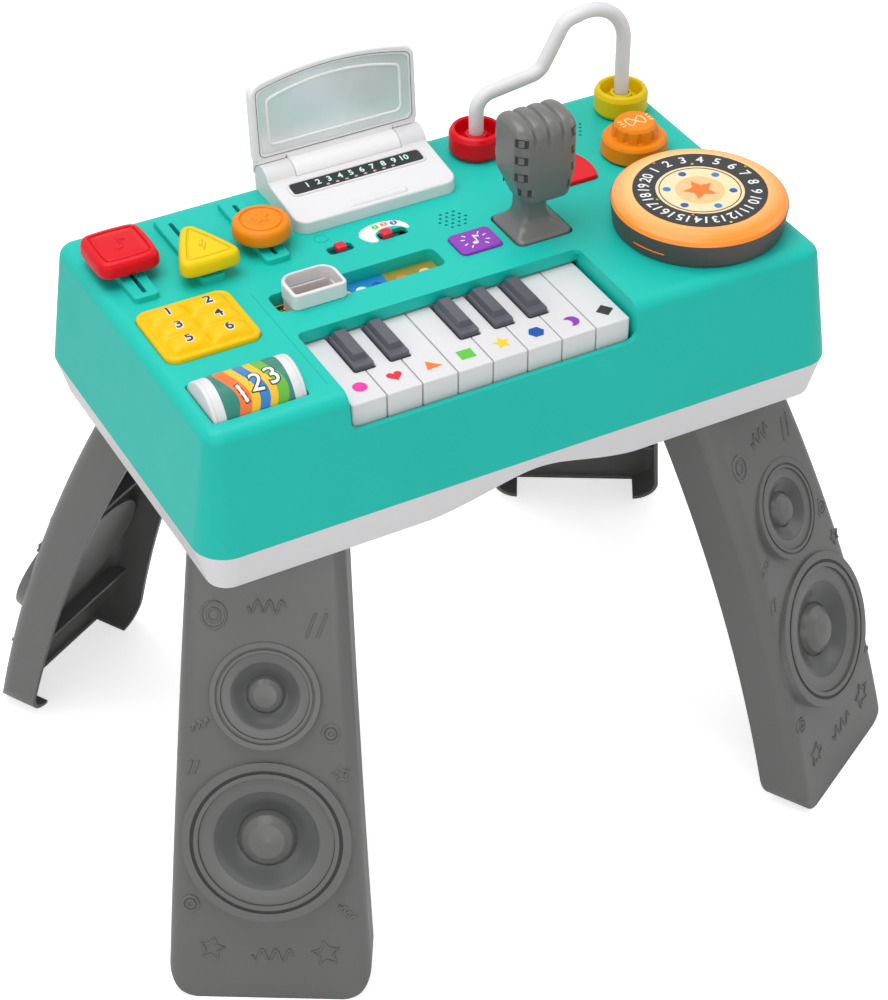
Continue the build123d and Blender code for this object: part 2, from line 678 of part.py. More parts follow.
def make_roller_caps():
    caps = []
    for x, side in ((roller_x0, 1), (roller_x1, -1)):
        cap = Pos(x, roller_y, roller_z) * Rot(0, 90 * side, 0) * fillet(
            Cylinder(roller_radius, 2.5, align=LOW).edges().sort_by(Axis.Z)[0], 1.2)
        spigot = rod_along_x(min(x, x + side * 8), max(x, x + side * 8), roller_y, roller_z, 5)
        caps.append((cap + spigot) - rod_along_x(x - 9, x + 9, roller_y, roller_z, axle_radius + run))
    return caps


# ---- laptop ----
def make_laptop_base():
    z0 = top_z
    edge = lap_axis_y - lap_barrel - 0.4
    profile = [(lap_front_y, z0), (lap_front_y, lap_front_z), (edge, lap_rear_z), (edge, z0)]
    slope = along_x(profile, lap_x0, lap_x1)
    upright = [e for e in slope.edges() if abs(e.center().Y - lap_front_y) < 0.1 and abs(e.tangent_at(0.5).Z) > 0.9]
    slope = fillet(upright, 9.0)
    slope = fillet([e for e in slope.edges() if e.center().Z > lap_front_z - 1.5
                    and e.center().Y < edge - 1], 1.5)
    for x0, x1 in ((lap_x0, barrel_x0), (barrel_x1, lap_x1)):
        slope += rod_along_x(x0, x1, lap_axis_y, lap_axis_z, lap_barrel)
        slope += slab(x0, x1, edge - 1, lap_axis_y + lap_barrel, z0, lap_axis_z)
        slope += slab(x0, x1, edge - 1, lap_axis_y, z0, lap_rear_z)
    slope += slab(barrel_x0 - 1, barrel_x1 + 1, edge - 1, lap_axis_y + lap_barrel, z0, z0 + 0.6)
    return slope - rod_along_x(lap_x0 + 2, lap_x1 - 2, lap_axis_y, lap_axis_z, axle_radius)


def lid_tilt(shape):
    axis = Pos(0, lap_axis_y, lap_axis_z)
    return axis * Rot(-lid_lean, 0, 0) * shape


def lid_plan(inset, low_round):
    """Face outline of the lid with its arched top edge, measured from the hinge axis."""
    half = (lid_x1 - lid_x0) / 2 - inset
    low = lap_barrel + seat + inset
    sides = Polyline((half, lid_side_top - inset), (half, low), (-half, low), (-half, lid_side_top - inset))
    arch = ThreePointArc((-half, lid_side_top - inset), (0, lid_top - inset), (half, lid_side_top - inset))
    plan = make_face(sides + arch)
    plan = fillet(plan.vertices().sort_by(Axis.Y)[2:4], lid_corner - 0.8 * inset)
    return fillet(plan.vertices().sort_by(Axis.Y)[0:2], low_round)


def lid_place(depth):
    return Pos((lid_x0 + lid_x1) / 2, depth, 0) * Rot(90, 0, 0)


def make_laptop_lid():
    """Lid drawn upright about the hinge axis and leaned back."""
    low = lap_barrel + seat
    panel = extrude(lid_plan(0, 4.0), lid_thick)
    panel = fillet(panel.faces().sort_by(Axis.Z)[0].edges(), 1.8)
    panel = fillet(panel.faces().sort_by(Axis.Z)[-1].edges(), 1.8)
    panel = lid_place(lid_front + lid_thick) * panel
    recess = lid_place(lid_front) * extrude(lid_plan(lid_rim, 5.0), mirror_thick + 0.6, both=True)
    x0, x1 = barrel_x0 + fit, barrel_x1 - fit
    barrel = rod_along_x(x0, x1, 0, 0, lap_barrel)
    neck = slab(x0, x1, lid_front - 1, lap_barrel, 0, low + 3)
    lid = (panel - recess) + barrel + neck
    lid -= rod_along_x(x0 - 1, x1 + 1, 0, 0, axle_radius + run)
    return lid_tilt(lid)


def make_mirror():
    return lid_tilt(lid_place(lid_front + mirror_thick + 0.6) * extrude(lid_plan(lid_rim + 0.2, 4.8), mirror_thick))


def make_number_strip():
    slope = math.degrees(math.atan2(lap_rear_z - lap_front_z, lap_axis_y - lap_barrel - 0.4 - lap_front_y))
    y = 80.0
    z = lap_front_z + (y - lap_front_y) * math.tan(math.radians(slope))
    strip = extrude(RectangleRounded(92, 10.5, 2.5), 0.5)
    return Pos(-16.2, y, z) * Rot(slope, 0, 0) * strip


# ---- microphone ----
def mic_slots():
    """Shallow cuts down the four upright corners of the head, which tapers below."""
    cuts = []
    for z in mic_slot_zs:
        u = min((z - mic_head_z) / (mic_wide_z - mic_head_z), 1.0)
        wide = mic_low_w + (mic_head_w - mic_low_w) * u
        deep = mic_low_d + (mic_head_d - mic_low_d) * u
        x = mic_low_x + (mic_head_x - mic_low_x) * u
        y = mic_low_y + (mic_y - mic_low_y) * u
        reach = mic_head_round * (1 - math.sqrt(0.5))
        for sx, sy in ((1, 1), (1, -1), (-1, 1), (-1, -1)):
            corner = Pos(x + sx * (wide / 2 - reach), y + sy * (deep / 2 - reach), z)
            turn = math.degrees(math.atan2(-sx, sy))
            cuts.append(corner * Rot(0, 0, turn) * Pos(0, 1 - mic_slot_deep, 0)
                        * Box(mic_slot_w, 2.0, mic_slot_h))
    return cuts


def make_microphone():
    base = slab(mic_x - mic_w / 2, mic_x + mic_w / 2, mic_y - mic_d / 2, mic_y + mic_d / 2,
                top_z - 2.2, top_z + 1.2, 4.0)
    foot = loft([Pos(mic_x, mic_y, top_z + 1.2) * RectangleRounded(mic_w - 1.5, mic_d - 1.5, 4.0),
                 Pos(mic_x - 1, mic_y + 2, top_z + 5.5) * RectangleRounded(25, 25, 5.0),
                 Pos(mic_x - 1.5, mic_y + 1, top_z + 12) * RectangleRounded(18, 18, 5.0)])
    neck = slab(mic_x - 10.5, mic_x + 7.5, mic_y - 8, mic_y + 10, top_z + 11, mic_head_z + 4, 5.0)
    lower = loft([Pos(mic_low_x, mic_low_y, mic_head_z) * RectangleRounded(mic_low_w, mic_low_d, mic_head_round),
                  Pos(mic_head_x, mic_y, mic_wide_z) * RectangleRounded(mic_head_w, mic_head_d, mic_head_round)])
    upper = Pos(mic_head_x, mic_y, mic_wide_z) * extrude(
        RectangleRounded(mic_head_w, mic_head_d, mic_head_round), mic_top_z + 1 - mic_wide_z)
    half = mic_head_w / 2
    upper &= rod_along_x(mic_head_x - half, mic_head_x + half, mic_y, mic_top_z - mic_arch, mic_arch)
    for step in (-1, 0, 1):
        x = mic_head_x + mic_ridge_pitch * step
        upper -= rod_along_x(x - 1, x + 1, mic_y, mic_top_z - mic_arch, mic_arch + 1) - rod_along_x(
            x - 2, x + 2, mic_y, mic_top_z - mic_arch, mic_arch - 1.8) - slab(
            x - 2, x + 2, mic_y - 40, mic_y + 40, mic_top_z - 80, mic_top_z - 8)
    stem = slab(mic_x - mic_w / 2 + 2, mic_x + mic_w / 2 - 2, mic_y - 6, mic_y + 6, mic_pivot_z - 5,
                top_z - 2)
    body = base + foot + neck + lower + upper + stem
    for cut in mic_slots():
        body -= cut
    return body - rod_along_x(mic_x - 30, mic_x + 30, mic_y, mic_pivot_z, axle_radius + run)


# ---- turntable, knob, rings, tube ----
def make_platter_skirt():
    r = platter_radius
    low = top_z + seat + 0.5
    shell = lathe([(spindle_radius + run, low), (12, low), (12, platter_edge_z - 3), (r - 3.5, platter_edge_z - 3),
                   (r - 4.5, low), (r - 2, low), (r, platter_edge_z), (spindle_radius + run, platter_edge_z)],
                  platter_x, platter_y)
    return shell


def make_platter_cover():
    r = platter_radius
    z0, z1 = platter_edge_z, platter_top_z
    return lathe([(0, z1), (dial_outer + 1.0, z1), (r - 8, z1 - 0.6), (r - 3.5, z1 - 2), (r - 1.2, z1 - 3.8),
                  (r - 0.3, z0), (r - 4, z0), (r - 6, z1 - 3.5), (0, z1 - 2.5)], platter_x, platter_y)


def make_dial_ring():
    z = platter_top_z
    return lathe([(dial_inner, z), (dial_outer, z), (dial_outer, z + 0.5), (dial_inner, z + 0.5)],
                 platter_x, platter_y)


def make_spindles():
    out = []
    for x, y, radius, high in ((platter_x, platter_y, spindle_radius, platter_edge_z - 0.5),
                               (knob_x, knob_y, knob_spindle_radius, knob_base_z - 2)):
        out.append(post(x, y, under_top - 8, high, radius) + post(x, y, under_top - 3, under_top, radius + 5))
    return out


def make_tune_knob():
    low = top_z + seat + 0.5
    r, g = knob_base_radius, knob_grip_radius
    knob = lathe([(0, low), (r - 1, low), (r, low + 1), (r - 1.0, knob_base_z - 2), (r - 2.6, knob_base_z),
                  (g + 0.6, knob_base_z), (g - 1, knob_top_z - 2), (g - 2.6, knob_top_z), (0, knob_top_z)])
    for i in range(10):
        a = math.radians(36 * i)
        knob -= Pos((g + 1.4) * math.cos(a), (g + 1.4) * math.sin(a), knob_base_z + 1.2) * Cylinder(
            2.6, 20, align=LOW)
    knob -= post(0, 0, low - 1, knob_base_z - 1.5, knob_spindle_radius + run)
    return Pos(knob_x, knob_y, 0) * knob


def make_ring(x):
    bore = tube_radius + ring_play
    r, z0, z1 = ring_radius, ring_z0, ring_z1
    return lathe([(bore, z0), (r - 1.5, z0), (r, z0 + 2.5), (r, z1 - 4), (r - 1.3, z1 - 1.2), (r - 3.2, z1),
                  (r - 4.2, z1 - 1.0), (r - 4.6, z1 - 3), (r - 5.0, z0 + 7), (bore + 2.4, z0 + 7),
                  (bore + 2.0, z1 - 4.5), (bore, z1 - 4.0)], x, ring_y)


def make_tube_arch():
    route = [(red_ring_x, tube_foot_z), (red_ring_x, 434.5), (120.5, 440.8), (138.2, 472.9),
             (yellow_ring_x, 483.4), (yellow_ring_x, tube_foot_z)]
    radii = [12.0, 13.0, 11.0, 28.0]
    path = FilletPolyline([(x, ring_y, z) for x, z in route], radius=radii)
    section = Pos(red_ring_x, ring_y, tube_foot_z) * Circle(tube_radius)
    return sweep(section, path=path)


def make_loudspeaker():
    z = under_top
    x, y = grille_large
    r = speaker_radius
    return lathe([(0, z - 16), (11, z - 16), (11, z - 10), (r - 3, z - 3), (r, z - 3), (r, z),
                  (r - 3, z), (6, z - 6), (0, z - 6)], x, y)


# ---- batteries ----
def make_batteries():
    cells = []
    for row in (-1, 0, 1):
        y = row * (2 * cell_radius + 0.4)
        cells.append(rod_along_x(bay_x - cell_length / 2, bay_x + cell_length / 2, y,
                                 bay_z + cell_radius + 1.2, cell_radius))
    return cells


def make_battery_contacts():
    plates = []
    half = cell_length / 2
    for side in (-1, 1):
        x0, x1 = sorted((bay_x + side * (half + 2.6), bay_x + side * (half + 3.2)))
        plate = slab(x0, x1, -20, 20, bay_z + 1.2, bay_z + 2 * cell_radius)
        for row in (-1, 0, 1):
            a, b = sorted((bay_x + side * half, bay_x + side * (half + 3.0)))
            plate += rod_along_x(a, b, row * (2 * cell_radius + 0.4), bay_z + cell_radius + 1.2, 2.6)
        plates.append(plate)
    return plates


def bay_half():
    """Half length and half width of the battery bay."""
    return cell_length / 2 + 3.2, 3 * cell_radius + 1.8


def door_screw_x():
    return bay_x + bay_half()[0] + screw_lap


def make_battery_door():
    half_x, half_y = bay_half()
    lap_x, lap_y = half_x + 2 * screw_lap - fit, half_y + door_lap - fit
    door = slab(bay_x - lap_x, bay_x + lap_x, -lap_y, lap_y, bay_z - 2, bay_z, 1.7)
    return door - post(door_screw_x(), 0, bay_z - 3, bay_z + 1, screw_radius + 0.2)


def make_nodes():
    nodes = {"housing": make_housing(), "base_tray": make_base_tray()}
    leg = make_leg()
    nodes["leg_front_right"] = leg
    nodes["leg_front_left"] = leg.mirror(Plane.YZ)
    nodes["leg_rear_right"] = leg.mirror(Plane.XZ)
    nodes["leg_rear_left"] = leg.mirror(Plane.XZ).mirror(Plane.YZ)
    nodes["leg_screws"] = [make_screw(x, y, tray_bottom_z - leg_wall, 14) for x, y in leg_screw_spots()]
    nodes["tray_screws"] = [make_screw(x, y, tray_bottom_z + 6, 38) for x, y in tray_screw_spots]
    nodes["battery_door"] = make_battery_door()
    nodes["battery_door_screw"] = make_screw(door_screw_x(), 0, bay_z - 2, 8)
    nodes["batteries"] = make_batteries()
    nodes["battery_contacts"] = make_battery_contacts()
    nodes["circuit_board"] = make_circuit_boards()
    nodes["button_contacts"] = make_button_contacts()
    nodes["loudspeaker"] = make_loudspeaker()
    nodes["key_chassis"] = make_key_chassis()
    nodes["key_rod"] = rod_along_x(well_x0 + 0.2, well_x1 - 0.2, rod_y, rod_z, rod_radius)
    for i in range(key_count):
        nodes["white_key_" + str(i + 1)] = make_white_key(i)
    nodes["black_key_bar"] = make_black_key_bar()
    nodes["key_contacts"] = slab(key_left_x, key_right_x, key_front_y + 6, black_front_y - 12,
                                 chassis_top_z, chassis_top_z + 3, 2.0)
    for name, x, y in zip(slider_names, slider_xs, slider_ys):
        nodes["slider_cap_" + name] = make_slider_cap(name, x, y)
        nodes["slider_carriage_" + name] = make_slider_carriage(x, y)
    nodes["number_pad"] = make_number_pad()
    nodes["roller_drum"] = make_roller_drum()
    nodes["roller_caps"] = make_roller_caps()
    nodes["roller_axle"] = rod_along_x(roller_x0 - roller_gap - 2.4, roller_x1 + roller_gap + 2.4,
                                       roller_y, roller_z, axle_radius)
    nodes["viewer_frame"] = make_viewer_frame()
    nodes["window_strip"] = make_window_strip()
    nodes["laptop_base"] = make_laptop_base()
    nodes["laptop_lid"] = make_laptop_lid()
    nodes["mirror"] = make_mirror()
    nodes["number_strip"] = make_number_strip()
    nodes["lid_pin"] = rod_along_x(lap_x0 + 2, lap_x1 - 2, lap_axis_y, lap_axis_z, axle_radius)
    nodes["switch_plate"] = make_switch_plate()
    for side, x, shift in zip(("left", "right"), switch_xs, switch_knobs):
        nodes["switch_knob_" + side] = make_switch_knob(x, shift)
    nodes["purple_button"] = make_purple_button()
    nodes["red_button"] = make_red_button()
    nodes["microphone"] = make_microphone()
    nodes["microphone_pin"] = rod_along_x(mic_x - mic_w / 2 - mic_gap - 2.4, mic_x + mic_w / 2 + mic_gap + 2.4,
                                          mic_y, mic_pivot_z, axle_radius)
    nodes["spindles"] = make_spindles()
    nodes["platter_skirt"] = make_platter_skirt()
    nodes["platter_cover"] = make_platter_cover()
    nodes["dial_ring"] = make_dial_ring()
    nodes["tune_knob"] = make_tune_knob()
    nodes["tube_arch"] = make_tube_arch()
    nodes["red_ring"] = make_ring(red_ring_x)
    nodes["yellow_ring"] = make_ring(yellow_ring_x)
    return nodes


def main():
    os.makedirs("parts", exist_ok=True)
    for name, shape in make_nodes().items():
        solid = Compound(shape) if isinstance(shape, list) else shape
        export_step(solid, os.path.join("parts", name + ".step"))
        print(name)


main()
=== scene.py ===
import bpy
import bmesh
import math
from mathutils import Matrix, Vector


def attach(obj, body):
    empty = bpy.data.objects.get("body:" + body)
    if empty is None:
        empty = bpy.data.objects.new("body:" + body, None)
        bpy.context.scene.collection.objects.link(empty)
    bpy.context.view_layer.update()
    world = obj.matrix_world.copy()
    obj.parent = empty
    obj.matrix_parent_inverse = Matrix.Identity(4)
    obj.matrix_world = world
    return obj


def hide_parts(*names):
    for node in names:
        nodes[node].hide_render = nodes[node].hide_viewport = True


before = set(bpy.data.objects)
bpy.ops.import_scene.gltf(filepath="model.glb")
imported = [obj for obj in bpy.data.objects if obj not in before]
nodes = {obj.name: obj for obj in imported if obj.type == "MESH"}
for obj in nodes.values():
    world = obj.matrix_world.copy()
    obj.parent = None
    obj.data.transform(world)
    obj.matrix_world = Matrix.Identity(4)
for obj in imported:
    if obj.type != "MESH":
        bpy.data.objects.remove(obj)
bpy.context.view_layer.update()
mm = 0.001
print("frame loaded:", len(nodes), "nodes")


class Wire:
    # one value in a material, with its sums written as plain arithmetic
    def __init__(self, bench, socket):
        self.bench = bench
        self.socket = socket

    def call(self, operation, other=0.0):
        return self.bench.node("ShaderNodeMath", "Value", {0: self, 1: other}, operation=operation)

    def __add__(self, other):
        return self.call("ADD", other)

    def __sub__(self, other):
        return self.call("SUBTRACT", other)

    def __mul__(self, other):
        return self.call("MULTIPLY", other)

    def __truediv__(self, other):
        return self.call("DIVIDE", other)

    def __gt__(self, other):
        return self.call("GREATER_THAN", other)


class Bench:
    # one material and the nodes that are laid out in it
    def __init__(self, name, colour, roughness, **sockets):
        self.material = bpy.data.materials.new(name)
        self.material.use_nodes = True
        self.material.diffuse_color = (*colour, 1.0)
        self.tree = self.material.node_tree
        self.shader = self.tree.nodes["Principled BSDF"]
        self.set({"Base Color": (*colour, 1.0), "Roughness": roughness})
        self.set({key.replace("_", " "): value for key, value in sockets.items()})

    def set(self, sockets):
        for key, value in sockets.items():
            self.feed(self.shader.inputs[key], value)

    def feed(self, socket, value):
        if isinstance(value, Wire):
            self.tree.links.new(value.socket, socket)
        else:
            socket.default_value = value

    def node(self, kind, output, sockets=None, **settings):
        # makes a node and gives back its output of that name or number
        made = self.tree.nodes.new(kind)
        for key, value in settings.items():
            if key == "stops":
                # bands of flat colour
                ramp = made.color_ramp
                ramp.interpolation = "CONSTANT"
                while len(ramp.elements) < len(value):
                    ramp.elements.new(0.5)
                for element, (place, shade) in zip(ramp.elements, value):
                    element.position = place
                    element.color = (*shade, 1.0)
            else:
                setattr(made, key, value)
        for key, value in (sockets or {}).items():
            self.feed(made.inputs[key], value)
        return Wire(self, made.outputs[output])

    def place(self):
        return self.node("ShaderNodeTexCoord", "Object")

    def axes(self):
        outputs = self.node("ShaderNodeSeparateXYZ", "X", {0: self.place()}).socket.node.outputs
        return [Wire(self, outputs[axis]) for axis in "XYZ"]

    def noise(self, scale, detail):
        return self.node("ShaderNodeTexNoise", "Fac", {"Vector": self.place(), "Scale": scale, "Detail": detail})

    def blendColour(self, factor, first, second):
        return self.node("ShaderNodeMix", 2, {0: factor, 6: first, 7: second}, data_type="RGBA")


def lighter(colour, by):
    return tuple(min(1.0, c * by) for c in colour) + (1.0,)


def moulded(name, colour, roughness, edge=0.8, grain=0.10, grainScale=900.0, drift=0.05, shine=0.5):
    # injection moulded plastic: soft edges, faint flow marks, fine spark-eroded grain
    bench = Bench(name, colour, roughness, Specular_IOR_Level=shine)
    flow = bench.noise(9.0, 3.0)
    bench.set({"Base Color": bench.blendColour(flow, lighter(colour, 1 - drift), lighter(colour, 1 + drift))})
    bench.set({"Roughness": bench.noise(38.0, 4.0) * 0.12 + (roughness - 0.06)})
    soft = bench.node("ShaderNodeBevel", "Normal", {"Radius": edge * mm}, samples=6)
    sockets = {"Strength": grain, "Distance": 0.12 * mm, "Height": bench.noise(grainScale, 2.0), "Normal": soft}
    bench.set({"Normal": bench.node("ShaderNodeBump", "Normal", sockets)})
    return bench


def srgb(r, g, b):
    # colours are written as 0-255 display values
    return tuple((c / 255 / 12.92) if c / 255 <= 0.04045 else ((c / 255 + 0.055) / 1.055) ** 2.4 for c in (r, g, b))


plastics = {
    "teal": ((20, 190, 176), 0.44, dict(edge=1.0, shine=0.28)),
    "white": ((222, 221, 223), 0.42, dict(edge=0.8, drift=0.01, shine=0.4)),
    # painted light: a lighter copy of the white plastic, worn on the lid so that it reads as more brightly lit than the
    # base
    "lidPaintedLightWhite": ((238, 237, 238), 0.36, dict(edge=0.8, drift=0.01, shine=0.5)),
    "keyWhite": ((220, 219, 221), 0.34, dict(edge=1.2, drift=0.01, shine=0.4)),
    "legGrey": ((99, 100, 98), 0.34, dict(edge=0.9, grain=0.14, grainScale=1300.0)),
    # painted shade: a darker grey than the legs for the shade in the loudspeaker cones, and near black for the shade in
    # their grooves
    "bowlPaintedShade": ((72, 74, 73), 0.30, dict(edge=0.6, grain=0.1)),
    "groovePaintedShade": ((30, 32, 31), 0.5, dict(edge=0.2)),
    "micGrey": ((106, 106, 104), 0.32, dict(edge=0.8, grain=0.1)),
    "micDark": ((48, 48, 47), 0.55, dict(edge=0.3)),
    "keyDark": ((84, 84, 94), 0.40, dict(edge=0.7)),
    "skirtGrey": ((80, 75, 73), 0.46, dict(edge=0.8, shine=0.35)),
    "red": ((218, 0, 24), 0.34, dict(edge=0.9, shine=0.24)),
    "yellow": ((230, 200, 2), 0.36, dict(edge=0.9, shine=0.24)),
    "orange": ((236, 136, 10), 0.36, dict(edge=0.9, shine=0.24)),
    "purple": ((136, 50, 178), 0.34, dict(edge=0.6, shine=0.4)),
    "rubber": ((60, 60, 62), 0.70, dict(edge=0.4, grain=0.3)),
    "board": ((20, 110, 70), 0.45, dict(edge=0.2)),
    "cone": ((36, 36, 38), 0.6, dict(edge=0.4)),
    "black": ((22, 22, 24), 0.34, dict(edge=0.2, grain=0.04)),
    "padYellow": ((236, 190, 0), 0.36, dict(edge=0.5, grain=0.06, shine=0.2)),
}
inks = {
    "printWhite": (236, 237, 238), "printBlack": (24, 23, 25), "printMagenta": (236, 42, 160),
    "printRed": (222, 16, 40), "printOrange": (246, 118, 20), "printGreen": (88, 192, 56),
    "printYellow": (246, 206, 28), "printBlue": (30, 128, 196), "printDeepBlue": (18, 82, 170),
    "printViolet": (138, 44, 176), "printOlive": (150, 138, 52), "printPeach": (248, 196, 138),
    "stripOrange": (214, 108, 44), "printMint": (196, 238, 222), "printRose": (190, 162, 162),
    "printCream": (252, 224, 178), "seamGrey": (92, 92, 94),
}
finishes = {name: moulded(name, srgb(*colour), roughness, **more) for name, (colour, roughness, more) in
            plastics.items()}
for ink, colour in inks.items():
    # thin print: almost flat, with the faintest mottling
    finishes[ink] = moulded(ink, srgb(*colour), 0.34, edge=0.1, grain=0.03, drift=0.025)


def steelFinish():
    bench = Bench("turnedSteel", srgb(190, 190, 194), 0.28, Metallic=1.0)
    bench.set({"Roughness": bench.noise(240.0, 3.0) * 0.2 + 0.18})
    return bench


def mirrorFinish():
    # silvered film seen through a slightly cloudy sheet
    bench = Bench("mirrorFilm", srgb(238, 239, 241), 0.2, Metallic=0.3)
    bench.set({"Roughness": bench.noise(22.0, 3.0) * 0.16 + 0.14})
    bench.set({"Base Color": bench.blendColour(bench.noise(26.0, 4.0), (0.66, 0.67, 0.68, 1), (0.97, 0.97, 0.98, 1))})
    return bench


dial = {
    "x": 156.0, "y": -54.5, "top": 418.0, "label": 417.5, "digitRadius": 35.2, "digit": 7.0, "pale": 43.0, "rim": 55.5,
    "dots": [("printOrange", 103, 40.8), ("printYellow", 67, 30.0), ("printGreen", 13, 40.8),
             ("printYellow", -95, 40.8), ("printOrange", -131, 30.0), ("printGreen", 175, 30.0)],
    "dot": 0.9, "labelRadius": 27.9, "line": 25.6, "spots": 6, "spot": 2.6, "spotReach": 20.8, "disc": 15.5,
    "star": 11.0, "seam": 55.0, "seamZ": 401.5,
}   # the turntable's cover, with its digits, dots, label and skirt seam; pale and rim: where the cover's painted glow fades from pale to deeper orange


def glowFinish():
    # the cover with painted glow: pale in its middle as if a lamp lit it from beneath, deeper orange down its rim, and
    # with painted shade a deeper orange at its front
    bench = Bench("glowCover", srgb(255, 188, 112), 0.36, Coat_Weight=0.12)
    x, y = bench.axes()[:2]
    dx, dy = x - dial["x"] * mm, y - dial["y"] * mm
    reach = (dx * dx + dy * dy).call("SQRT")
    rim = bench.node("ShaderNodeMapRange", "Result", {0: reach, 1: dial["pale"] * mm, 2: dial["rim"] * mm})
    # painted shade: the front of the cover is painted a deeper orange
    front = bench.node("ShaderNodeMapRange", "Result", {0: dy, 1: 0.03, 2: -0.056, 4: 0.6})
    pale, deep = (*srgb(255, 196, 128), 1), (*srgb(252, 142, 40), 1)
    paintedGlowColour = bench.blendColour((rim * 0.75 + front).call("MINIMUM", 1.0), pale, deep)
    # painted glow: the cover gives off its own colour, though no lamp is in it
    bench.set({"Base Color": paintedGlowColour, "Emission Color": paintedGlowColour, "Emission Strength": 0.12})
    bench.set({"Roughness": bench.noise(60.0, 3.0) * 0.1 + 0.3})
    return bench


# slide: dark teal painted on the knob below the housing's top, painted shade in the slot
knobs = {"red": srgb(214, 16, 50), "slide": srgb(6, 92, 84), "slideTop": 0.3951}


def knobFinish():
    # red grip over the slide that closes the slot; the slide is painted dark teal, painted shade inside the slot
    bench = moulded("knobRed", knobs["red"], 0.28, edge=0.5)
    # painted shade: dark teal below the housing's top
    above = bench.axes()[2] > knobs["slideTop"]
    bench.set({"Base Color": bench.blendColour(above, (*knobs["slide"], 1), (*knobs["red"], 1))})
    return bench


roller = {
    "y": -83.0, "z": 386.5, "radius": 21.15, "left": -191.5, "right": -148.0, "middle": -169.8, "lip": (0.2, -0.3),
    "sides": 96, "sets": 3, "start": -10.5, "digit": 12.0,
    "places": [(-178.0, -2.5, 14.0), (-167.5, 2.0, -6.0), (-157.0, 3.5, 10.0)],
    "print": [("halo", 0.85, 0.10, "printBlack"), ("ink", 0.12, 0.2, "printWhite")],
    "bands": [(0.0, srgb(0, 122, 108)), (0.16, srgb(246, 106, 8)), (0.33, srgb(248, 188, 16)),
              (0.45, srgb(0, 122, 190)), (0.60, srgb(248, 188, 16)), (0.71, srgb(96, 176, 36)),
              (0.87, srgb(0, 122, 108))],
}   # places: across, up, lean; print: kind, how bold, lift, finish; bands: where each starts along the drum


def rollerFinish():
    # printed sleeve with bands that wave round the drum
    bench = Bench("rollerPrint", srgb(240, 150, 40), 0.34, Specular_IOR_Level=0.3)
    x, y, z = bench.axes()
    sockets = {0: y - roller["y"] * mm, 1: z - roller["z"] * mm}
    turn = bench.node("ShaderNodeMath", "Value", sockets, operation="ARCTAN2")
    wide = (roller["right"] - roller["left"]) * mm
    along = (x - roller["left"] * mm) / wide + (turn * 3.0 + 0.7).call("SINE") * 0.075
    bands = bench.node("ShaderNodeValToRGB", "Color", {"Fac": along}, stops=roller["bands"])
    shade = bench.noise(40.0, 3.0) * 0.08
    bench.set({"Base Color": bench.blendColour(shade, bands, (1.0, 0.95, 0.85, 1))})
    return bench


finishes["steel"] = steelFinish()
finishes["mirror"] = mirrorFinish()
finishes["glow"] = glowFinish()
finishes["rollerPrint"] = rollerFinish()
finishes["knobRed"] = knobFinish()

# nodes that aren't listed wear white, and so do those that scene pieces replace
wears = {
    "teal": ["housing"],
    "lidPaintedLightWhite": ["laptop_lid"],
    "legGrey": ["leg_front_left", "leg_front_right", "leg_rear_left", "leg_rear_right"],
    "keyDark": ["black_key_bar", "key_chassis"],
    "keyWhite": ["white_key_" + str(i + 1) for i in range(8)],
    "skirtGrey": ["platter_skirt"],
    "red": ["red_button", "red_ring"],
    "knobRed": ["switch_knob_left", "switch_knob_right"],
    "yellow": ["yellow_ring"],
    "orange": ["tune_knob"],
    "glow": ["platter_cover"],
    "purple": ["purple_button"],
    "black": ["dial_ring", "number_strip"],
    "steel": ["leg_screws", "tray_screws", "battery_door_screw", "battery_contacts", "key_rod",
              "roller_axle", "lid_pin", "microphone_pin", "batteries"],
    "rubber": ["button_contacts", "key_contacts"],
    "board": ["circuit_board"],
    "cone": ["loudspeaker"],
    "mirror": ["mirror"],
}


worn = {node: finish for finish, members in wears.items() for node in members}
for node in nodes:
    mesh = nodes[node].data
    mesh.materials.clear()
    mesh.materials.append(finishes[worn.get(node, "white")].material)
print("finishes on", len(nodes), "nodes")


def skin(rings):
    # walls between equal outlines stacked from the bottom up, closed at both ends
    count = len(rings[0])
    points = [point for ring in rings for point in ring]
    faces = [tuple(reversed(range(count))), tuple(range(len(points) - count, len(points)))]
    for low in range(0, len(points) - count, count):
        for i in range(count):
            j = (i + 1) % count
            faces.append((low + i, low + j, low + count + j, low + count + i))
    return points, faces


def gather(shapes):
    points, faces = [], []
    for shapePoints, shapeFaces in shapes:
        shift = len(points)
        points += [tuple(point) for point in shapePoints]
        faces += [tuple(i + shift for i in face) for face in shapeFaces]
    return points, faces


def added(name, data):
    thing = bpy.data.objects.new(name, data)
    bpy.context.scene.collection.objects.link(thing)
    return thing


def settle(piece, body, replaced=()):
    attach(piece, body)
    if replaced:
        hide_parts(*replaced)
    return piece


def bareMesh(name, shape, weld=0.0):
    # points are in millimetres in the table's own frame
    mesh = bpy.data.meshes.new(name)
    mesh.from_pydata([Vector(point) * mm for point in shape[0]], [], shape[1])
    work = bmesh.new()
    work.from_mesh(mesh)
    if weld:
        bmesh.ops.remove_doubles(work, verts=work.verts, dist=weld * mm)
    bmesh.ops.recalc_face_normals(work, faces=work.faces)
    work.to_mesh(mesh)
    work.free()
    return mesh


def meshPiece(name, shape, finish, body, replaced=(), sharp=35.0, weld=0.0):
    mesh = bareMesh(name, shape, weld)
    mesh.materials.append(finishes[finish].material)
    mesh.shade_smooth()
    mesh.set_sharp_from_angle(angle=math.radians(sharp))
    return settle(added(name, mesh), body, replaced)


def film(name, shape, finish, body="table"):
    return meshPiece(name, shape, finish, body)


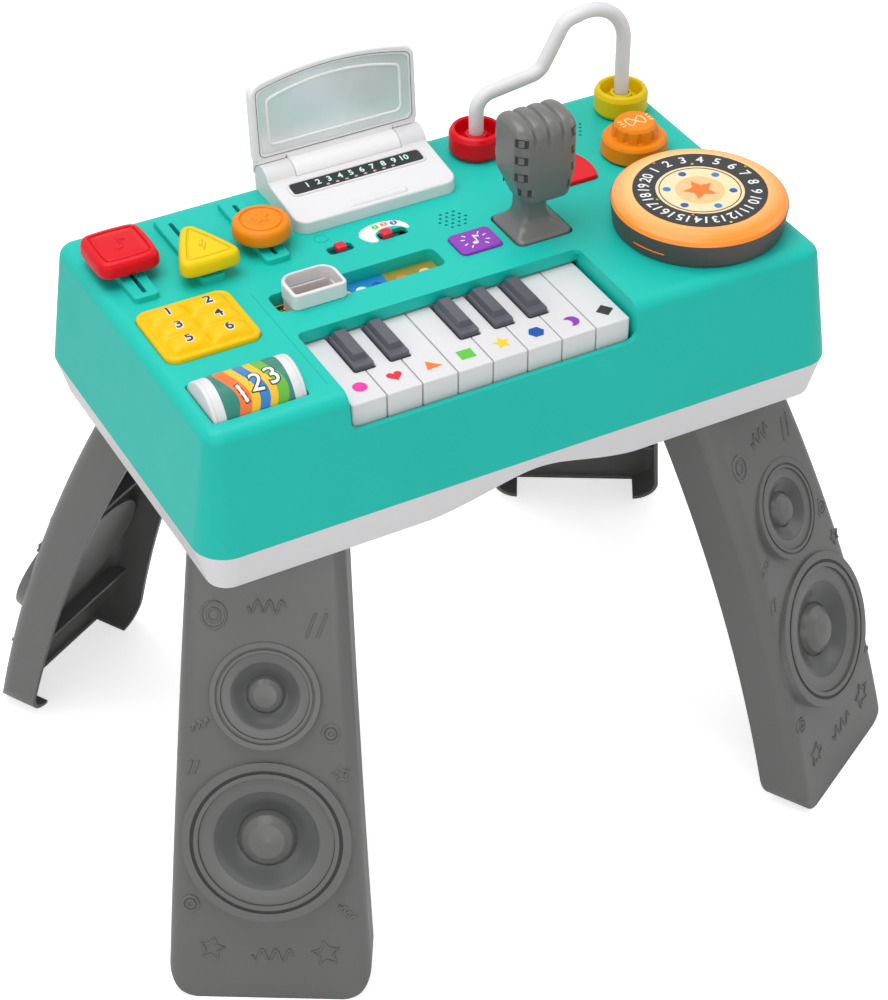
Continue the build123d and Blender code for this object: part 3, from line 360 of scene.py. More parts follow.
def linePiece(name, lines, thick, finish, body):
    # raised lines: each entry is a list of points in millimetres and whether it closes
    data = bpy.data.curves.new(name, "CURVE")
    data.dimensions = "3D"
    data.bevel_depth = thick * mm
    data.bevel_resolution = 2
    data.use_fill_caps = True
    for points, closed in lines:
        spline = data.splines.new("POLY")
        spline.points.add(len(points) - 1)
        for knot, point in zip(spline.points, points):
            knot.co = (*(Vector(point) * mm), 1.0)
        spline.use_cyclic_u = closed
    data.materials.append(finishes[finish].material)
    return settle(added(name, data), body)


def turned(plan, degrees):
    cos, sin = math.cos(math.radians(degrees)), math.sin(math.radians(degrees))
    return [(x * cos - y * sin, x * sin + y * cos) for x, y in plan]


def scaled(plan, size):
    return [(x * size, y * size) for x, y in plan]


def moved(plan, x, y):
    return [(p[0] + x, p[1] + y) for p in plan]


def evenPlan(radius, sides=56):
    return [(radius * math.cos(math.tau * i / sides), radius * math.sin(math.tau * i / sides)) for i in range(sides)]


def starPlan(radius, waist=0.46):
    # five tips, the first one up
    plan = []
    for i in range(10):
        reach = radius * (waist if i % 2 else 1.0)
        plan.append((reach * math.cos(math.pi * i / 5), reach * math.sin(math.pi * i / 5)))
    return turned(plan, 90.0)


def heartPlan(size):
    return [(-size * math.sin(t) ** 3, size * (13 * math.cos(t) - 5 * math.cos(2 * t) - 2 * math.cos(3 * t)
                                               - math.cos(4 * t)) / 16) for t in (math.tau * i / 40 for i in range(40))]


def crescentPlan(radius, bite, turn):
    # a round outline with a second circle, shifted by the bite, taken out of it
    outer = [(radius * math.cos(a), radius * math.sin(a)) for a in (math.radians(-128 + 8 * i) for i in range(33))]
    start, inner = outer[-1], []
    reach = math.hypot(start[0] + bite * radius, start[1])
    swing = math.degrees(math.atan2(start[1], start[0] + bite * radius))
    for i in range(1, 16):
        a = math.radians(swing - 2 * swing * i / 16)
        inner.append((reach * math.cos(a) - bite * radius, reach * math.sin(a)))
    return turned(outer + inner, turn)


def boltPlan(size):
    knots = [(0.12, 1.0), (-0.42, -0.08), (-0.06, -0.04), (-0.22, -1.0), (0.42, 0.2), (0.06, 0.14), (0.38, 1.0)]
    return scaled(knots, size)


def notePlans(size):
    head = moved([(x, y * 0.75) for x, y in evenPlan(0.36 * size, 20)], -0.28 * size, -0.6 * size)
    stem = scaled([(-0.04, -0.6), (0.1, -0.6), (0.1, 0.85), (-0.04, 0.85)], size)
    flag = scaled([(0.1, 0.85), (0.1, 0.5), (0.62, 0.3), (0.62, 0.62)], size)
    return [head, stem, flag]


def boxPlan(x0, x1, y0, y1):
    return [(x0, y0), (x1, y0), (x1, y1), (x0, y1)]


def roundedPlan(corners, radius, inset=0.0, steps=7, sides=1, bulge=0.0):
    # convex outline, anticlockwise: edges moved in, corners round, sides bowed out if asked
    curve = max(radius - inset, 0.3)
    arcs = []
    for i, corner in enumerate(corners):
        here = Vector(corner)
        into = (here - Vector(corners[i - 1])).normalized()
        out = (Vector(corners[(i + 1) % len(corners)]) - here).normalized()
        sweep = into.angle(out)
        centre = here + (out - into).normalized() * (inset + curve) / math.cos(sweep / 2)
        start = math.atan2(-into.x, into.y)
        turns = [start + sweep * k / steps for k in range(steps + 1)]
        arcs.append([centre + curve * Vector((math.cos(a), math.sin(a))) for a in turns])
    plan = []
    for i, arc in enumerate(arcs):
        plan += arc
        run = arcs[(i + 1) % len(arcs)][0] - arc[-1]
        side = Vector((run.y, -run.x)).normalized()
        for k in range(1, sides):
            t = k / sides
            plan.append(arc[-1] + run * t + side * bulge * 4 * t * (1 - t))
    return [tuple(point) for point in plan]


def raised(plan, z, x=0.0, y=0.0):
    return [(p[0] + x, p[1] + y, z) for p in plan]


def stack(plan, profile, x, y):
    # plan gives the outline for an inset, profile lists insets and heights from the bottom up
    return skin([raised(plan(inset), z, x, y) for inset, z in profile])


def flat(plan, z, thick, x=0.0, y=0.0):
    # a film on the level z, sunk a little into what it lies on
    return skin([raised(plan, height, x, y) for height in (z - 0.05, z + thick)])


def words(text, height, bolder, cuts=0):
    # plain digits as a flat mesh about their own middle, height in millimetres, 0.7 of the font's size
    data = bpy.data.curves.new("digits", "FONT")
    data.body = text
    data.size = height / 0.7
    data.offset = bolder
    data.resolution_u = 4
    holder = bpy.data.objects.new("digits", data)
    mesh = bpy.data.meshes.new_from_object(holder)
    work = bmesh.new()
    work.from_mesh(mesh)
    bmesh.ops.triangulate(work, faces=work.faces)
    if cuts:
        bmesh.ops.subdivide_edges(work, edges=work.edges, cuts=cuts, use_grid_fill=True)
    work.verts.index_update()
    points = [tuple(vert.co) for vert in work.verts]
    faces = [tuple(vert.index for vert in face.verts) for face in work.faces]
    work.free()
    bpy.data.curves.remove(data)
    bpy.data.meshes.remove(mesh)
    midX = (min(p[0] for p in points) + max(p[0] for p in points)) / 2
    midY = (min(p[1] for p in points) + max(p[1] for p in points)) / 2
    return [(p[0] - midX, p[1] - midY) for p in points], faces


def laid(shape, place):
    # place turns a flat point into a point of the table
    return [place(*point) for point in shape[0]], shape[1]


def ramp(value, start, run):
    # from 0 at the start to 1 after the run
    return min(max((value - start) / run, 0.0), 1.0)


def between(low, high, share):
    return [a + (b - a) * share for a, b in zip(low, high)]


caps = {
    "profile": [(2.2, 403.0), (0.6, 403.25), (0, 404.2), (0, 406), (0.3, 409.6), (0.9, 411.3), (1.8, 412.5),
                (3.0, 413.1), (4.6, 413.3), (4.9, 413.1), (5.2, 412.2), (5.9, 412.1), (6.3, 412.9),
                (7.0, 413.2), (11.0, 413.4)],
    "neck": [(0.6, 399.7), (0, 400.2), (0, 404)], "neckPlan": boxPlan(-5, 5, -8, 8), "neckRound": 2,
    "motif": [(1.0, 413.2), (0.97, 413.78), (0.86, 414.1)], "bulge": 0.6,
    "red": {"x": -184.3, "y": 68.0, "corners": boxPlan(-20.7, 19.7, -21.2, 20.2), "round": 8, "sides": 8,
            "marks": notePlans(7.5)},
    "yellow": {"x": -140.5, "y": 46.0, "corners": [(-23.3, -20.6), (22.8, -20.6), (0, 32)], "round": 6.5, "sides": 6,
               "marks": [moved(boltPlan(6.0), 0, -4)]},
    "orange": {"x": -96.6, "y": 52.0, "radius": 18.7, "marks": [starPlan(6.5)]},
}   # profile and neck: inset and height; motif: share of its outline and height


def capPlan(cap, inset):
    if "radius" in cap:
        return evenPlan(cap["radius"] - inset, 72)
    return roundedPlan(cap["corners"], cap["round"], inset, sides=cap["sides"], bulge=caps["bulge"])


def capMotif(plan, x, y):
    midX, midY = sum(p[0] for p in plan) / len(plan), sum(p[1] for p in plan) / len(plan)
    return skin([[(x + midX + (p[0] - midX) * grow, y + midY + (p[1] - midY) * grow, z) for p in plan]
                 for grow, z in caps["motif"]])


def makeSliderCaps():
    for name in ("red", "yellow", "orange"):
        cap = caps[name]
        x, y = cap["x"], cap["y"]
        top = stack(lambda inset: capPlan(cap, inset), caps["profile"], x, y)
        neck = stack(lambda inset: roundedPlan(caps["neckPlan"], caps["neckRound"], inset), caps["neck"], x, y)
        shape = gather([top, neck] + [capMotif(plan, x, y) for plan in cap["marks"]])
        meshPiece("sliderTop_" + name, shape, name, "slider_" + name, ["slider_cap_" + name])


pad = {
    "middle": (-169.25, -13.0), "half": (30.75, 28.0), "corner": 8.0, "rim": 398.3, "skirt": 393.5,
    "edge": (1.3, 1.6), "dip": (0.9, 2.6), "step": (0.9, 4.0), "run": 0.8, "hump": 3.9, "cell": (12.97, 7.73),
    "grid": (66, 72), "digit": 7.4, "shift": (0.6, 0.5),
    "print": [("halo", 0.75, 0.12, "printWhite"), ("ink", 0.22, 0.24, "printBlack")],
}   # edge, dip and step: how high, and how far in from the outline


def padHeight(x, y):
    dx, dy = x - pad["middle"][0], y - pad["middle"][1]
    qx = abs(dx) - pad["half"][0] + pad["corner"]
    qy = abs(dy) - pad["half"][1] + pad["corner"]
    inside = pad["corner"] - math.hypot(max(qx, 0), max(qy, 0)) - min(max(qx, qy), 0)
    (drop, soft), (dip, dipAt), (step, stepAt) = pad["edge"], pad["dip"], pad["step"]
    z = pad["rim"] - drop * max(0.0, 1 - inside / soft) ** 2
    z += step * ramp(inside, stepAt, pad["run"]) - dip * ramp(inside, dipAt, pad["run"])
    wide, deep = pad["cell"]
    u = (abs(dx) - wide) / wide
    v = (dy - 2 * deep * round(max(-1.0, min(1.0, dy / (2 * deep))))) / deep
    if abs(u) < 1 and abs(v) < 1:
        z += pad["hump"] * (1 - abs(u) ** 5) * (1 - abs(v) ** 2.3) ** 0.8
    return z


def makeNumberPad():
    columns, rows = pad["grid"]
    points = []
    for j in range(rows + 1):
        dy = -pad["half"][1] * math.cos(math.pi * j / rows)
        over = max(0.0, abs(dy) - pad["half"][1] + pad["corner"])
        reach = pad["half"][0] - pad["corner"] + math.sqrt(max(0.0, pad["corner"] ** 2 - over ** 2))
        for i in range(columns + 1):
            x = pad["middle"][0] - reach * math.cos(math.pi * i / columns)
            y = pad["middle"][1] + dy
            points.append((x, y, padHeight(x, y)))
    wide = columns + 1
    faces = [(j * wide + i, j * wide + i + 1, (j + 1) * wide + i + 1, (j + 1) * wide + i)
             for j in range(rows) for i in range(columns)]
    border = list(range(wide)) + [j * wide + columns for j in range(1, rows + 1)]
    border += [rows * wide + i for i in range(columns - 1, -1, -1)] + [j * wide for j in range(rows - 1, 0, -1)]
    first = len(points)
    points += [(points[i][0], points[i][1], pad["skirt"]) for i in border]
    for k, i in enumerate(border):
        after = (k + 1) % len(border)
        faces.append((i, first + k, first + after, border[after]))
    faces.append(tuple(reversed(range(first, first + len(border)))))
    meshPiece("padTop", (points, faces), "padYellow", "pad", ["number_pad"], sharp=60)
    for kind, bolder, lift, finish in pad["print"]:
        shapes = []
        for digit in range(6):
            x = pad["middle"][0] + (1 if digit % 2 else -1) * pad["cell"][0] + pad["shift"][0]
            y = pad["middle"][1] + (1 - digit // 2) * 2 * pad["cell"][1] + pad["shift"][1]
            shapes.append(laid(words(str(digit + 1), pad["digit"], bolder, 2),
                               lambda tx, ty: (x + tx, y + ty, padHeight(x + tx, y + ty) + lift)))
        meshPiece("padDigits_" + kind, gather(shapes), finish, "pad")


def onRoller(x, along, lift):
    # along is the arc length up the front of the drum from its crown
    turn = along / roller["radius"]
    reach = roller["radius"] + lift
    return (x, roller["y"] + reach * math.sin(turn), roller["z"] + reach * math.cos(turn))


def makeRollerPrint():
    left, right, sides = roller["left"], roller["right"], roller["sides"]
    lip, fall = roller["lip"]
    rings = []
    for x, lift in ((left, fall), (left + lip, 0.0), (roller["middle"], 0.0), (right - lip, 0.0), (right, fall)):
        rings.append([onRoller(x, math.tau * roller["radius"] * i / sides, lift) for i in range(sides)])
    meshPiece("rollerSleeve", skin(rings), "rollerPrint", "roller", sharp=50)
    for face in range(roller["sets"]):
        # the sets of digits stand round the drum, so that one always shows
        start = roller["start"] + face * math.tau * roller["radius"] / roller["sets"]
        for kind, bolder, lift, finish in roller["print"]:
            shapes = []
            for k, (x, up, lean) in enumerate(roller["places"]):
                text = words(str(face * 3 + k + 1), roller["digit"], bolder, 2)
                plan = turned(text[0], lean)
                shapes.append(([onRoller(x + tx, start + up + ty, lift) for tx, ty in plan], text[1]))
            film("rollerDigits_" + kind + "_" + str(face + 1), gather(shapes), finish, "roller")


keyMarks = {
    "z": 385.0, "thick": 0.12,
    "icons": [("printMagenta", -105.3, -98.8, evenPlan(4.5)), ("printRed", -82.2, -98.6, heartPlan(4.9)),
              ("printOrange", -57.2, -100.6, [(-5.4, -2.4), (4.9, -1.6), (-3.0, 6.0)]),
              ("printGreen", -34.9, -99.4, boxPlan(-4.9, 4.9, -4.4, 4.4)),
              ("printYellow", -10.6, -99.4, starPlan(5.9, 0.5)), ("printDeepBlue", 13.0, -99.5, evenPlan(5.3, 6)),
              ("printViolet", 37.3, -99.8, crescentPlan(5.0, 0.85, 12.0)),
              ("printBlack", 61.0, -99.2, turned(boxPlan(-4.1, 4.1, -4.1, 4.1), 38.0))],
}


def makeKeyIcons():
    for i, (finish, x, y, plan) in enumerate(keyMarks["icons"]):
        number = str(i + 1)
        shape = flat(plan, keyMarks["z"], keyMarks["thick"], x, y)
        meshPiece("keyMark_" + number, shape, finish, "key_body_" + number)


strip = {
    "z": 386.3, "y": (-22.3, -2.2),
    "fields": [("stripOrange", -119.0, -80.5), ("printBlack", -80.5, -78.0), ("printBlue", -78.0, -41.5),
               ("printOlive", -41.5, -6.5)],
    "spots": [("printYellow", -70.5), ("printWhite", -59.8), ("printDeepBlue", -49.1), ("printOrange", -32.0),
              ("printPeach", -16.0)], "spotY": -12.2, "spot": 3.8,
    "panels": [(boxPlan(-115.0, -85.0, -9.8, -3.8), 1.0), (boxPlan(-113.0, -86.0, -18.5, -13.0), 0.8)],
    "rim": boxPlan(-115.7, -84.3, -10.5, -3.1), "rimRound": 1.4,
    "bars": (1.2, 2.6, 3.6, 2.2, 1.4, 3.0, 3.8, 2.4, 3.2, 1.6, 2.6, 1.2), "barX": -113.1, "barY": -9.0,
    "barPitch": 2.3, "bar": 1.1, "blockX": -111.0, "blockPitch": 3.4, "block": 2.0, "blockY": (-17.6, -14.2),
    "dot": (-89.5, -15.8), "dotRadius": 1.3,
}


def makeWindowPrint():
    z = strip["z"]
    for k, (finish, x0, x1) in enumerate(strip["fields"]):
        film("windowField_" + str(k + 1), flat(boxPlan(x0, x1, *strip["y"]), z, 0.03), finish)
    for k, (finish, x) in enumerate(strip["spots"]):
        film("windowSpot_" + str(k + 1), flat(evenPlan(strip["spot"], 32), z + 0.06, 0.02, x, strip["spotY"]), finish)
    film("windowPanelRim", flat(roundedPlan(strip["rim"], strip["rimRound"]), z + 0.06, 0.02), "printPeach")
    panels = [flat(roundedPlan(plan, corner), z + 0.06, 0.05) for plan, corner in strip["panels"]]
    film("windowPanels", gather(panels), "printBlack")
    bars = {"green": [], "yellow": [], "white": []}

    def addBar(colour, plan):
        bars[colour].append(flat(plan, z + 0.11, 0.035))

    for k, rise in enumerate(strip["bars"]):
        x = strip["barX"] + strip["barPitch"] * k
        addBar(list(bars)[k % 3], boxPlan(x, x + strip["bar"], strip["barY"], strip["barY"] + rise))
    for k in range(4):
        x = strip["blockX"] + strip["blockPitch"] * k
        addBar("white", boxPlan(x, x + strip["block"], *strip["blockY"]))
    addBar("green", moved(evenPlan(strip["dotRadius"], 20), *strip["dot"]))
    for colour, shapes in bars.items():
        film("windowBars_" + colour, gather(shapes), "print" + colour.capitalize())


lap = {
    "frontY": 47.5, "frontZ": 403.5, "slope": 0.1247, "stripX": -16.2, "stripY": 80.0,
    "digit": 4.7, "pitch": 7.7, "digitY": 81.0, "light": 1.3, "lightX": -38.2, "lightPitch": 6.6, "lightY": 76.4,
    "rim": roundedPlan(boxPlan(-47.2, 47.2, -6.3, 6.3), 3.2), "rest": boxPlan(-36.0, 5.5, 50.4, 55.6), "restRound": 2.4,
    "restProfile": [(-0.7, -0.4), (-0.3, 0.3), (0.4, 0.9), (1.3, 1.2), (2.1, 1.25)],
}   # the laptop's base, whose top slopes; restProfile: inset and lift


def lapZ(y, lift):
    return lap["frontZ"] + (y - lap["frontY"]) * lap["slope"] + lift


def makeLaptopTrim():
    shapes, lights, y = [], [], lap["digitY"]
    for k in range(10):
        x = lap["stripX"] + lap["pitch"] * (k - 4.5)
        text = words(str(k + 1), lap["digit"], 0.16)
        shapes.append(laid(text, lambda tx, ty: (x + tx, y + ty, lapZ(y + ty, 0.62))))
    film("stripDigits", gather(shapes), "printMint")
    oval = [(x, y * 0.6) for x, y in evenPlan(lap["light"], 16)]
    for k in range(8):
        plan = moved(oval, lap["lightX"] + lap["lightPitch"] * k, lap["lightY"])
        lights.append(skin([[(px, py, lapZ(py, lift)) for px, py in plan] for lift in (0.45, 0.63)]))
    film("stripLights", gather(lights), "printRose")
    line = [(px, py, lapZ(py, 0.15)) for px, py in moved(lap["rim"], lap["stripX"], lap["stripY"])]
    linePiece("stripRim", [(line, True)], 0.9, "white", "table")
    # raised rest for the palms with a step along its front
    rings = []
    for inset, lift in lap["restProfile"]:
        plan = roundedPlan(lap["rest"], lap["restRound"], inset)
        rings.append([(px, py, lapZ(py, lift)) for px, py in plan])
    meshPiece("palmRest", skin(rings), "white", "table")


lid = {
    "axis": (102.0, 406.0), "lean": 4.0, "ears": ((-73.6, -53.6), (23.1, 39.6)), "bore": 10.35,
    "heel": [(3.2, 13.0), (10.9, 13.0), (10.9, 1.4)], "middle": -17.0, "half": 58.0, "low": 10.2, "top": 71.5,
    "side": 64.0, "lines": [("lidSeam", 3.6, 2.92, 0.22, "seamGrey"), ("lidTray", 11.0, 3.7, 1.0, "lidPaintedLightWhite")],
}   # lines: inset from the edge, forward, thickness


def onLid(x, forward, up):
    # forward and up are measured from the hinge axis with the lid upright
    lean = math.radians(lid["lean"])
    return (x, lid["axis"][0] + forward * math.cos(lean) + up * math.sin(lean),
            lid["axis"][1] - forward * math.sin(lean) + up * math.cos(lean))


def makeLidTrim():
    # heels fill the corner between each ear and the lid
    angles = [math.radians(a) for a in range(6, 73, 6)]
    outline = [(lid["bore"] * math.cos(a), lid["bore"] * math.sin(a)) for a in angles] + lid["heel"]
    shapes = [skin([[onLid(x, f, u) for f, u in outline] for x in ends]) for ends in lid["ears"]]
    meshPiece("lidHeels", gather(shapes), "lidPaintedLightWhite", "lid")
    for name, seam, forward, thick, finish in lid["lines"]:
        half, low, side, top = lid["half"] - seam, lid["low"] + seam, lid["side"] - seam, lid["top"] - seam
        corners = [(-half, low), (half, low), (half, side)]
        corners += [(half * (1 - k / 6), side + (top - side) * (1 - (1 - k / 6) ** 2)) for k in range(1, 12)]
        corners += [(-half, side)]
        line = [onLid(lid["middle"] + x, forward, up) for x, up in roundedPlan(corners, 4.0, 0.0, 3)]
        linePiece(name, [(line, True)], thick, finish, "lid")


plate = {
    "z": 395.0, "outline": [
        (-40.3, 30.2), (-38.6, 33.4), (-35.7, 35.8), (-30.3, 37.8), (-22.6, 38.6), (-14.3, 36.9), (-9.6, 33.9),
        (-7.4, 29.6), (-7.2, 25.2), (-8.6, 24.4), (-10.0, 25.6), (-12.2, 28.8), (-15.4, 30.6), (-21.7, 31.4),
        (-26.4, 30.4), (-30.1, 27.6), (-31.4, 24.2), (-31.2, 20.4), (-33.0, 18.9), (-36.4, 20.2), (-39.4, 24.4),
        (-40.5, 27.6)],
    "dots": [(-26.9, 34.4, "printGreen"), (-20.6, 35.0, "printOrange"), (-14.3, 33.7, "printViolet")],
    "dot": 2.3, "digit": 2.7, "ring": (-62.2, 39.3), "ringRadius": 4.3,
}


def makeSwitchPlate():
    z = plate["z"]
    meshPiece("switchLabel", flat(plate["outline"], z, 0.35), "printWhite", "table", ["switch_plate"])
    for k, (x, y, finish) in enumerate(plate["dots"]):
        number = str(k + 1)
        film("switchDot_" + number, flat(evenPlan(plate["dot"], 28), z + 0.35, 0.1, x, y), finish)
        digit = laid(words(number, plate["digit"], 0.12), lambda tx, ty: (x + tx, y + ty, z + 0.52))
        film("switchDigit_" + number, digit, "printWhite")
    ring = raised(evenPlan(plate["ringRadius"], 40), z + 0.05, *plate["ring"])
    linePiece("topRing", [(ring, True)], 0.45, "teal", "table")


button = {"x": 20.8, "y": -9.5, "z": 396.8, "rays": (35, 145, 215, 325), "spread": 16,
          "ray": boxPlan(6.6, 9.4, -0.42, 0.42)}


def makeButtonMarks():
    plans = [moved(plan, 0.4, 0.4) for plan in notePlans(5.6)]
    plans += [turned(button["ray"], turn + side * button["spread"]) for turn in button["rays"] for side in (-1, 1)]
    shapes = [flat(plan, button["z"], 0.1, button["x"], button["y"]) for plan in plans]
    film("purpleMark", gather(shapes), "printWhite", "purple")


mic = {
    "low": (65.0, -11.7, 33.0, 26.0), "lowZ": 420.0, "full": (63.0, -8.7, 43.0, 36.0), "fullZ": 439.0,
    "round": 8.0, "soft": 6.5, "arch": 33.0, "top": 476.6, "pitch": 9.8, "fine": 72,
    "bottom": [(2.2, 420.0), (0.8, 420.5), (0.0, 421.8), (0.0, 429.5), (0.0, 437.67)],
    "slots": (430.0, 442.0, 454.0, 466.0), "deep": 1.25, "pin": (-8.7, 388.0), "bore": 2.05, "boreX": (40.0, 84.0),
    "stem": boxPlan(44.6, 78.6, -14.7, -2.7), "stemZ": (383.0, 393.2),
    "foot": [(61.6, -8.7, 35.6, 3.0, 392.8), (61.6, -8.7, 38.0, 4.2, 393.4), (61.6, -8.7, 38.0, 4.2, 395.7),
             (61.6, -8.7, 37.3, 3.9, 396.3), (61.5, -8.4, 34.6, 4.2, 397.2), (61.2, -7.8, 30.0, 4.6, 398.6),
             (60.8, -7.3, 25.6, 4.9, 400.6), (60.5, -7.2, 21.8, 4.9, 403.2), (60.2, -7.4, 19.2, 4.8, 406.6),
             (60.1, -7.7, 18.0, 4.6, 410.5), (60.2, -7.8, 18.0, 4.6, 415.0), (60.6, -8.2, 19.4, 4.8, 418.5),
             (61.2, -8.8, 22.5, 5.2, 421.0)],
}   # low and full: middle and size; bottom: inset and height; foot: middle, size, corner and height


def blockRing(x, y, wide, deep, corner, fine=1):
    # outline of a rounded block with its outward directions, anticlockwise from its front right corner
    half, reach = wide / 2 - corner, deep / 2 - corner
    signs = ((1, -1), (1, 1), (-1, 1), (-1, -1))
    ring = []
    for k, (sx, sy) in enumerate(signs):
        for i in range(9):
            turn = math.radians(90 * k - 90 + 11.25 * i)
            cos, sin = math.cos(turn), math.sin(turn)
            ring.append((x + sx * half + corner * cos, y + sy * reach + corner * sin, cos, sin))
        ax, ay = signs[(k + 1) % 4]
        for i in range(1, fine):
            px, py = x + (sx + (ax - sx) * (i / fine)) * half, y + (sy + (ay - sy) * (i / fine)) * reach
            ring.append((px + corner * cos, py + corner * sin, cos, sin))
    return ring


def micBlock(z):
    # the head widens upwards, then keeps its full size
    return between(mic["low"], mic["full"], min((z - mic["lowZ"]) / (mic["fullZ"] - mic["lowZ"]), 1.0))


def micCrown(y):
    # the top is arched from front to back
    reach = min(abs(y - mic["full"][1]), mic["full"][3] / 2)
    return mic["top"] - mic["arch"] + math.sqrt(mic["arch"] * mic["arch"] - reach ** 2)


def ribbed(point, z, rise):
    # three grooves run over the head from front to back, with the ribs rounded between them
    x, y, outX, outY = point
    gap = min(abs(x - mic["full"][0] - mic["pitch"] * k) for k in (-1, 0, 1))
    fall = (1.7 * math.exp(-(gap / 0.95) ** 2) + 0.6 * math.exp(-(gap / 3.0) ** 2)) * ramp(z, 459, 7)
    return (x, y - fall * outY * math.cos(rise), z - fall * math.sin(rise))


def micHead():
    head, soft = [], mic["soft"]

    def ring(x, y, wide, deep, inset=0.0):
        corner = max(mic["round"] - inset, 0.0)
        return blockRing(x, y, wide - 2 * inset, deep - 2 * inset, corner, mic["fine"])

    head += [raised(ring(*micBlock(z), inset), z) for inset, z in mic["bottom"]]
    for u in (0.05, 0.3, 0.55, 0.75, 0.88, 1.0):
        wall = ring(*mic["full"])
        head.append([ribbed(p, mic["fullZ"] + (micCrown(p[1]) - soft - mic["fullZ"]) * u, 0.0) for p in wall])
    for k in range(1, 10):
        rise = math.pi / 2 * k / 9
        edge = ring(*mic["full"], soft * (1 - math.cos(rise)))
        head.append([ribbed(p, micCrown(p[1]) - soft * (1 - math.sin(rise)), rise) for p in edge])
    for k in range(1, 21):
        top = ring(*mic["full"], soft + (mic["full"][3] / 2 - soft) * k / 20)
        head.append([ribbed(p, micCrown(p[1]), math.pi / 2) for p in top])
    return skin(head)


def micSlots(half, tall, back, front):
    # upright boxes in the head's four corners, in rows one above another
    shapes = []
    reach, out = mic["round"] * (1 - math.sqrt(0.5)), math.sqrt(0.5)
    for z in mic["slots"]:
        x, y, wide, deep = micBlock(z)
        for sx, sy in ((1, 1), (1, -1), (-1, 1), (-1, -1)):
            cx, cy = x + sx * (wide / 2 - reach), y + sy * (deep / 2 - reach)
            plan = [(cx - sx * out * inward - sy * out * along, cy - sy * out * inward + sx * out * along)
                    for along, inward in ((-half, back), (half, back), (half, front), (-half, front))]
            shapes.append(skin([raised(plan, z - tall), raised(plan, z + tall)]))
    return shapes


def makeMicrophone():
    foot = [raised(blockRing(x, y, wide, wide, corner), z) for x, y, wide, corner, z in mic["foot"]]
    stem = [raised(mic["stem"], z) for z in mic["stemZ"]]
    casting = meshPiece("micCasting", gather([micHead(), skin(foot), skin(stem)]), "micGrey", "mic",
                        ["microphone"], sharp=40, weld=0.002)
    deep = mic["deep"]
    pin = moved(evenPlan(mic["bore"], 32), *mic["pin"])
    cuts = micSlots(4.6, 3.0, deep, -2.5) + [skin([[(x, y, z) for y, z in pin] for x in mic["boreX"]])]
    meshPiece("micSlotShade", gather(micSlots(4.3, 2.75, deep + 0.5, deep - 0.12)), "micDark", "mic")
    meshPiece("micSlotBars", gather(micSlots(1.9, 2.3, deep + 0.3, 0.35)), "micGrey", "mic")
    cutOut(casting, gather(cuts))


def cutOut(casting, shape):
    cutter = added("slotCutter", bareMesh("slotCutter", shape))
    cut = casting.modifiers.new("slots", "BOOLEAN")
    cut.object = cutter
    cut.operation = "DIFFERENCE"
    cut.solver = "EXACT"
    cut.use_self = True
    bpy.context.view_layer.update()
    ready = bpy.data.meshes.new_from_object(casting.evaluated_get(bpy.context.evaluated_depsgraph_get()))
    casting.modifiers.clear()
    casting.data = ready
    ready.set_sharp_from_angle(angle=math.radians(40))
    bpy.data.meshes.remove(cutter.data)


crease = {"x": -126.3, "z": 394.95, "y": range(5, -107, -8), "thick": 0.4}


def makeTopCrease():
    line = [(crease["x"], y, crease["z"]) for y in crease["y"]]
    linePiece("topCrease", [(line, False)], crease["thick"], "teal", "table")


def aroundDial(degrees, reach):
    angle = math.radians(degrees)
    return dial["x"] + reach * math.cos(angle), dial["y"] + reach * math.sin(angle)


def makeDialPrint():
    x0, y0, top, z = dial["x"], dial["y"], dial["top"], dial["label"]
    shapes = []
    for k in range(20):
        text = words(str(k + 1), dial["digit"], 0.14)
        plan = turned(moved(text[0], 0, dial["digitRadius"]), 22.0 - 18.0 * k)
        shapes.append((raised(plan, top + 0.12, x0, y0), text[1]))
    film("dialDigits", gather(shapes), "printWhite", "platter")
    for k, (finish, angle, reach) in enumerate(dial["dots"]):
        dot = flat(evenPlan(dial["dot"], 16), top, 0.12, *aroundDial(angle, reach))
        film("dialDot_" + str(k + 1), dot, finish, "platter")
    film("dialLabel", flat(evenPlan(dial["labelRadius"], 80), z, 0.12, x0, y0), "printCream", "platter")
    for k in range(dial["spots"]):
        place = aroundDial(30 + 360 / dial["spots"] * k, dial["spotReach"])
        spot = flat(evenPlan(dial["spot"], 24), z + 0.12, 0.06, *place)
        film("dialSpot_" + str(k + 1), spot, ("printBlue", "printDeepBlue")[k % 2], "platter")
    film("dialDisc", flat(evenPlan(dial["disc"], 60), z + 0.2, 0.06, x0, y0), "printPeach", "platter")
    film("dialStar", flat(starPlan(dial["star"], 0.5), z + 0.27, 0.06, x0, y0), "printOrange", "platter")
    ring = raised(evenPlan(dial["line"], 80), z + 0.1, x0, y0)
    linePiece("dialLine", [(ring, True)], 0.35, "printBlack", "platter")
    # painted glow: a thin orange line along the skirt seam stands for light leaking out of the gap there
    seam = [(*aroundDial(191 + 3 * k, dial["seam"]), dial["seamZ"]) for k in range(9)]
    linePiece("skirtGlow", [(seam, False)], 0.45, "printOrange", "platter")


knob = {"x": 164.0, "y": 35.5, "z": 418.05, "loop": (6.5, 4.5), "ticks": (-2.4, 0.0, 2.4), "tick": (9.0, 11.3),
        "flare": 1.5}


def makeKnobMark():
    x0, y0, z = knob["x"], knob["y"], knob["z"]
    wide, tall = knob["loop"]
    near, far = knob["tick"]
    angles = [math.tau * i / 48 for i in range(48)]
    lines = [([(x0 + wide * math.cos(a), y0 + tall * math.sin(2 * a), z) for a in angles], True)]
    for side in (-1, 1):
        for lift in knob["ticks"]:
            lines.append(([(x0 + side * near, y0 + lift, z), (x0 + side * far, y0 + lift * knob["flare"], z)], False))
    linePiece("knobMark", lines, 0.5, "printCream", "knob")


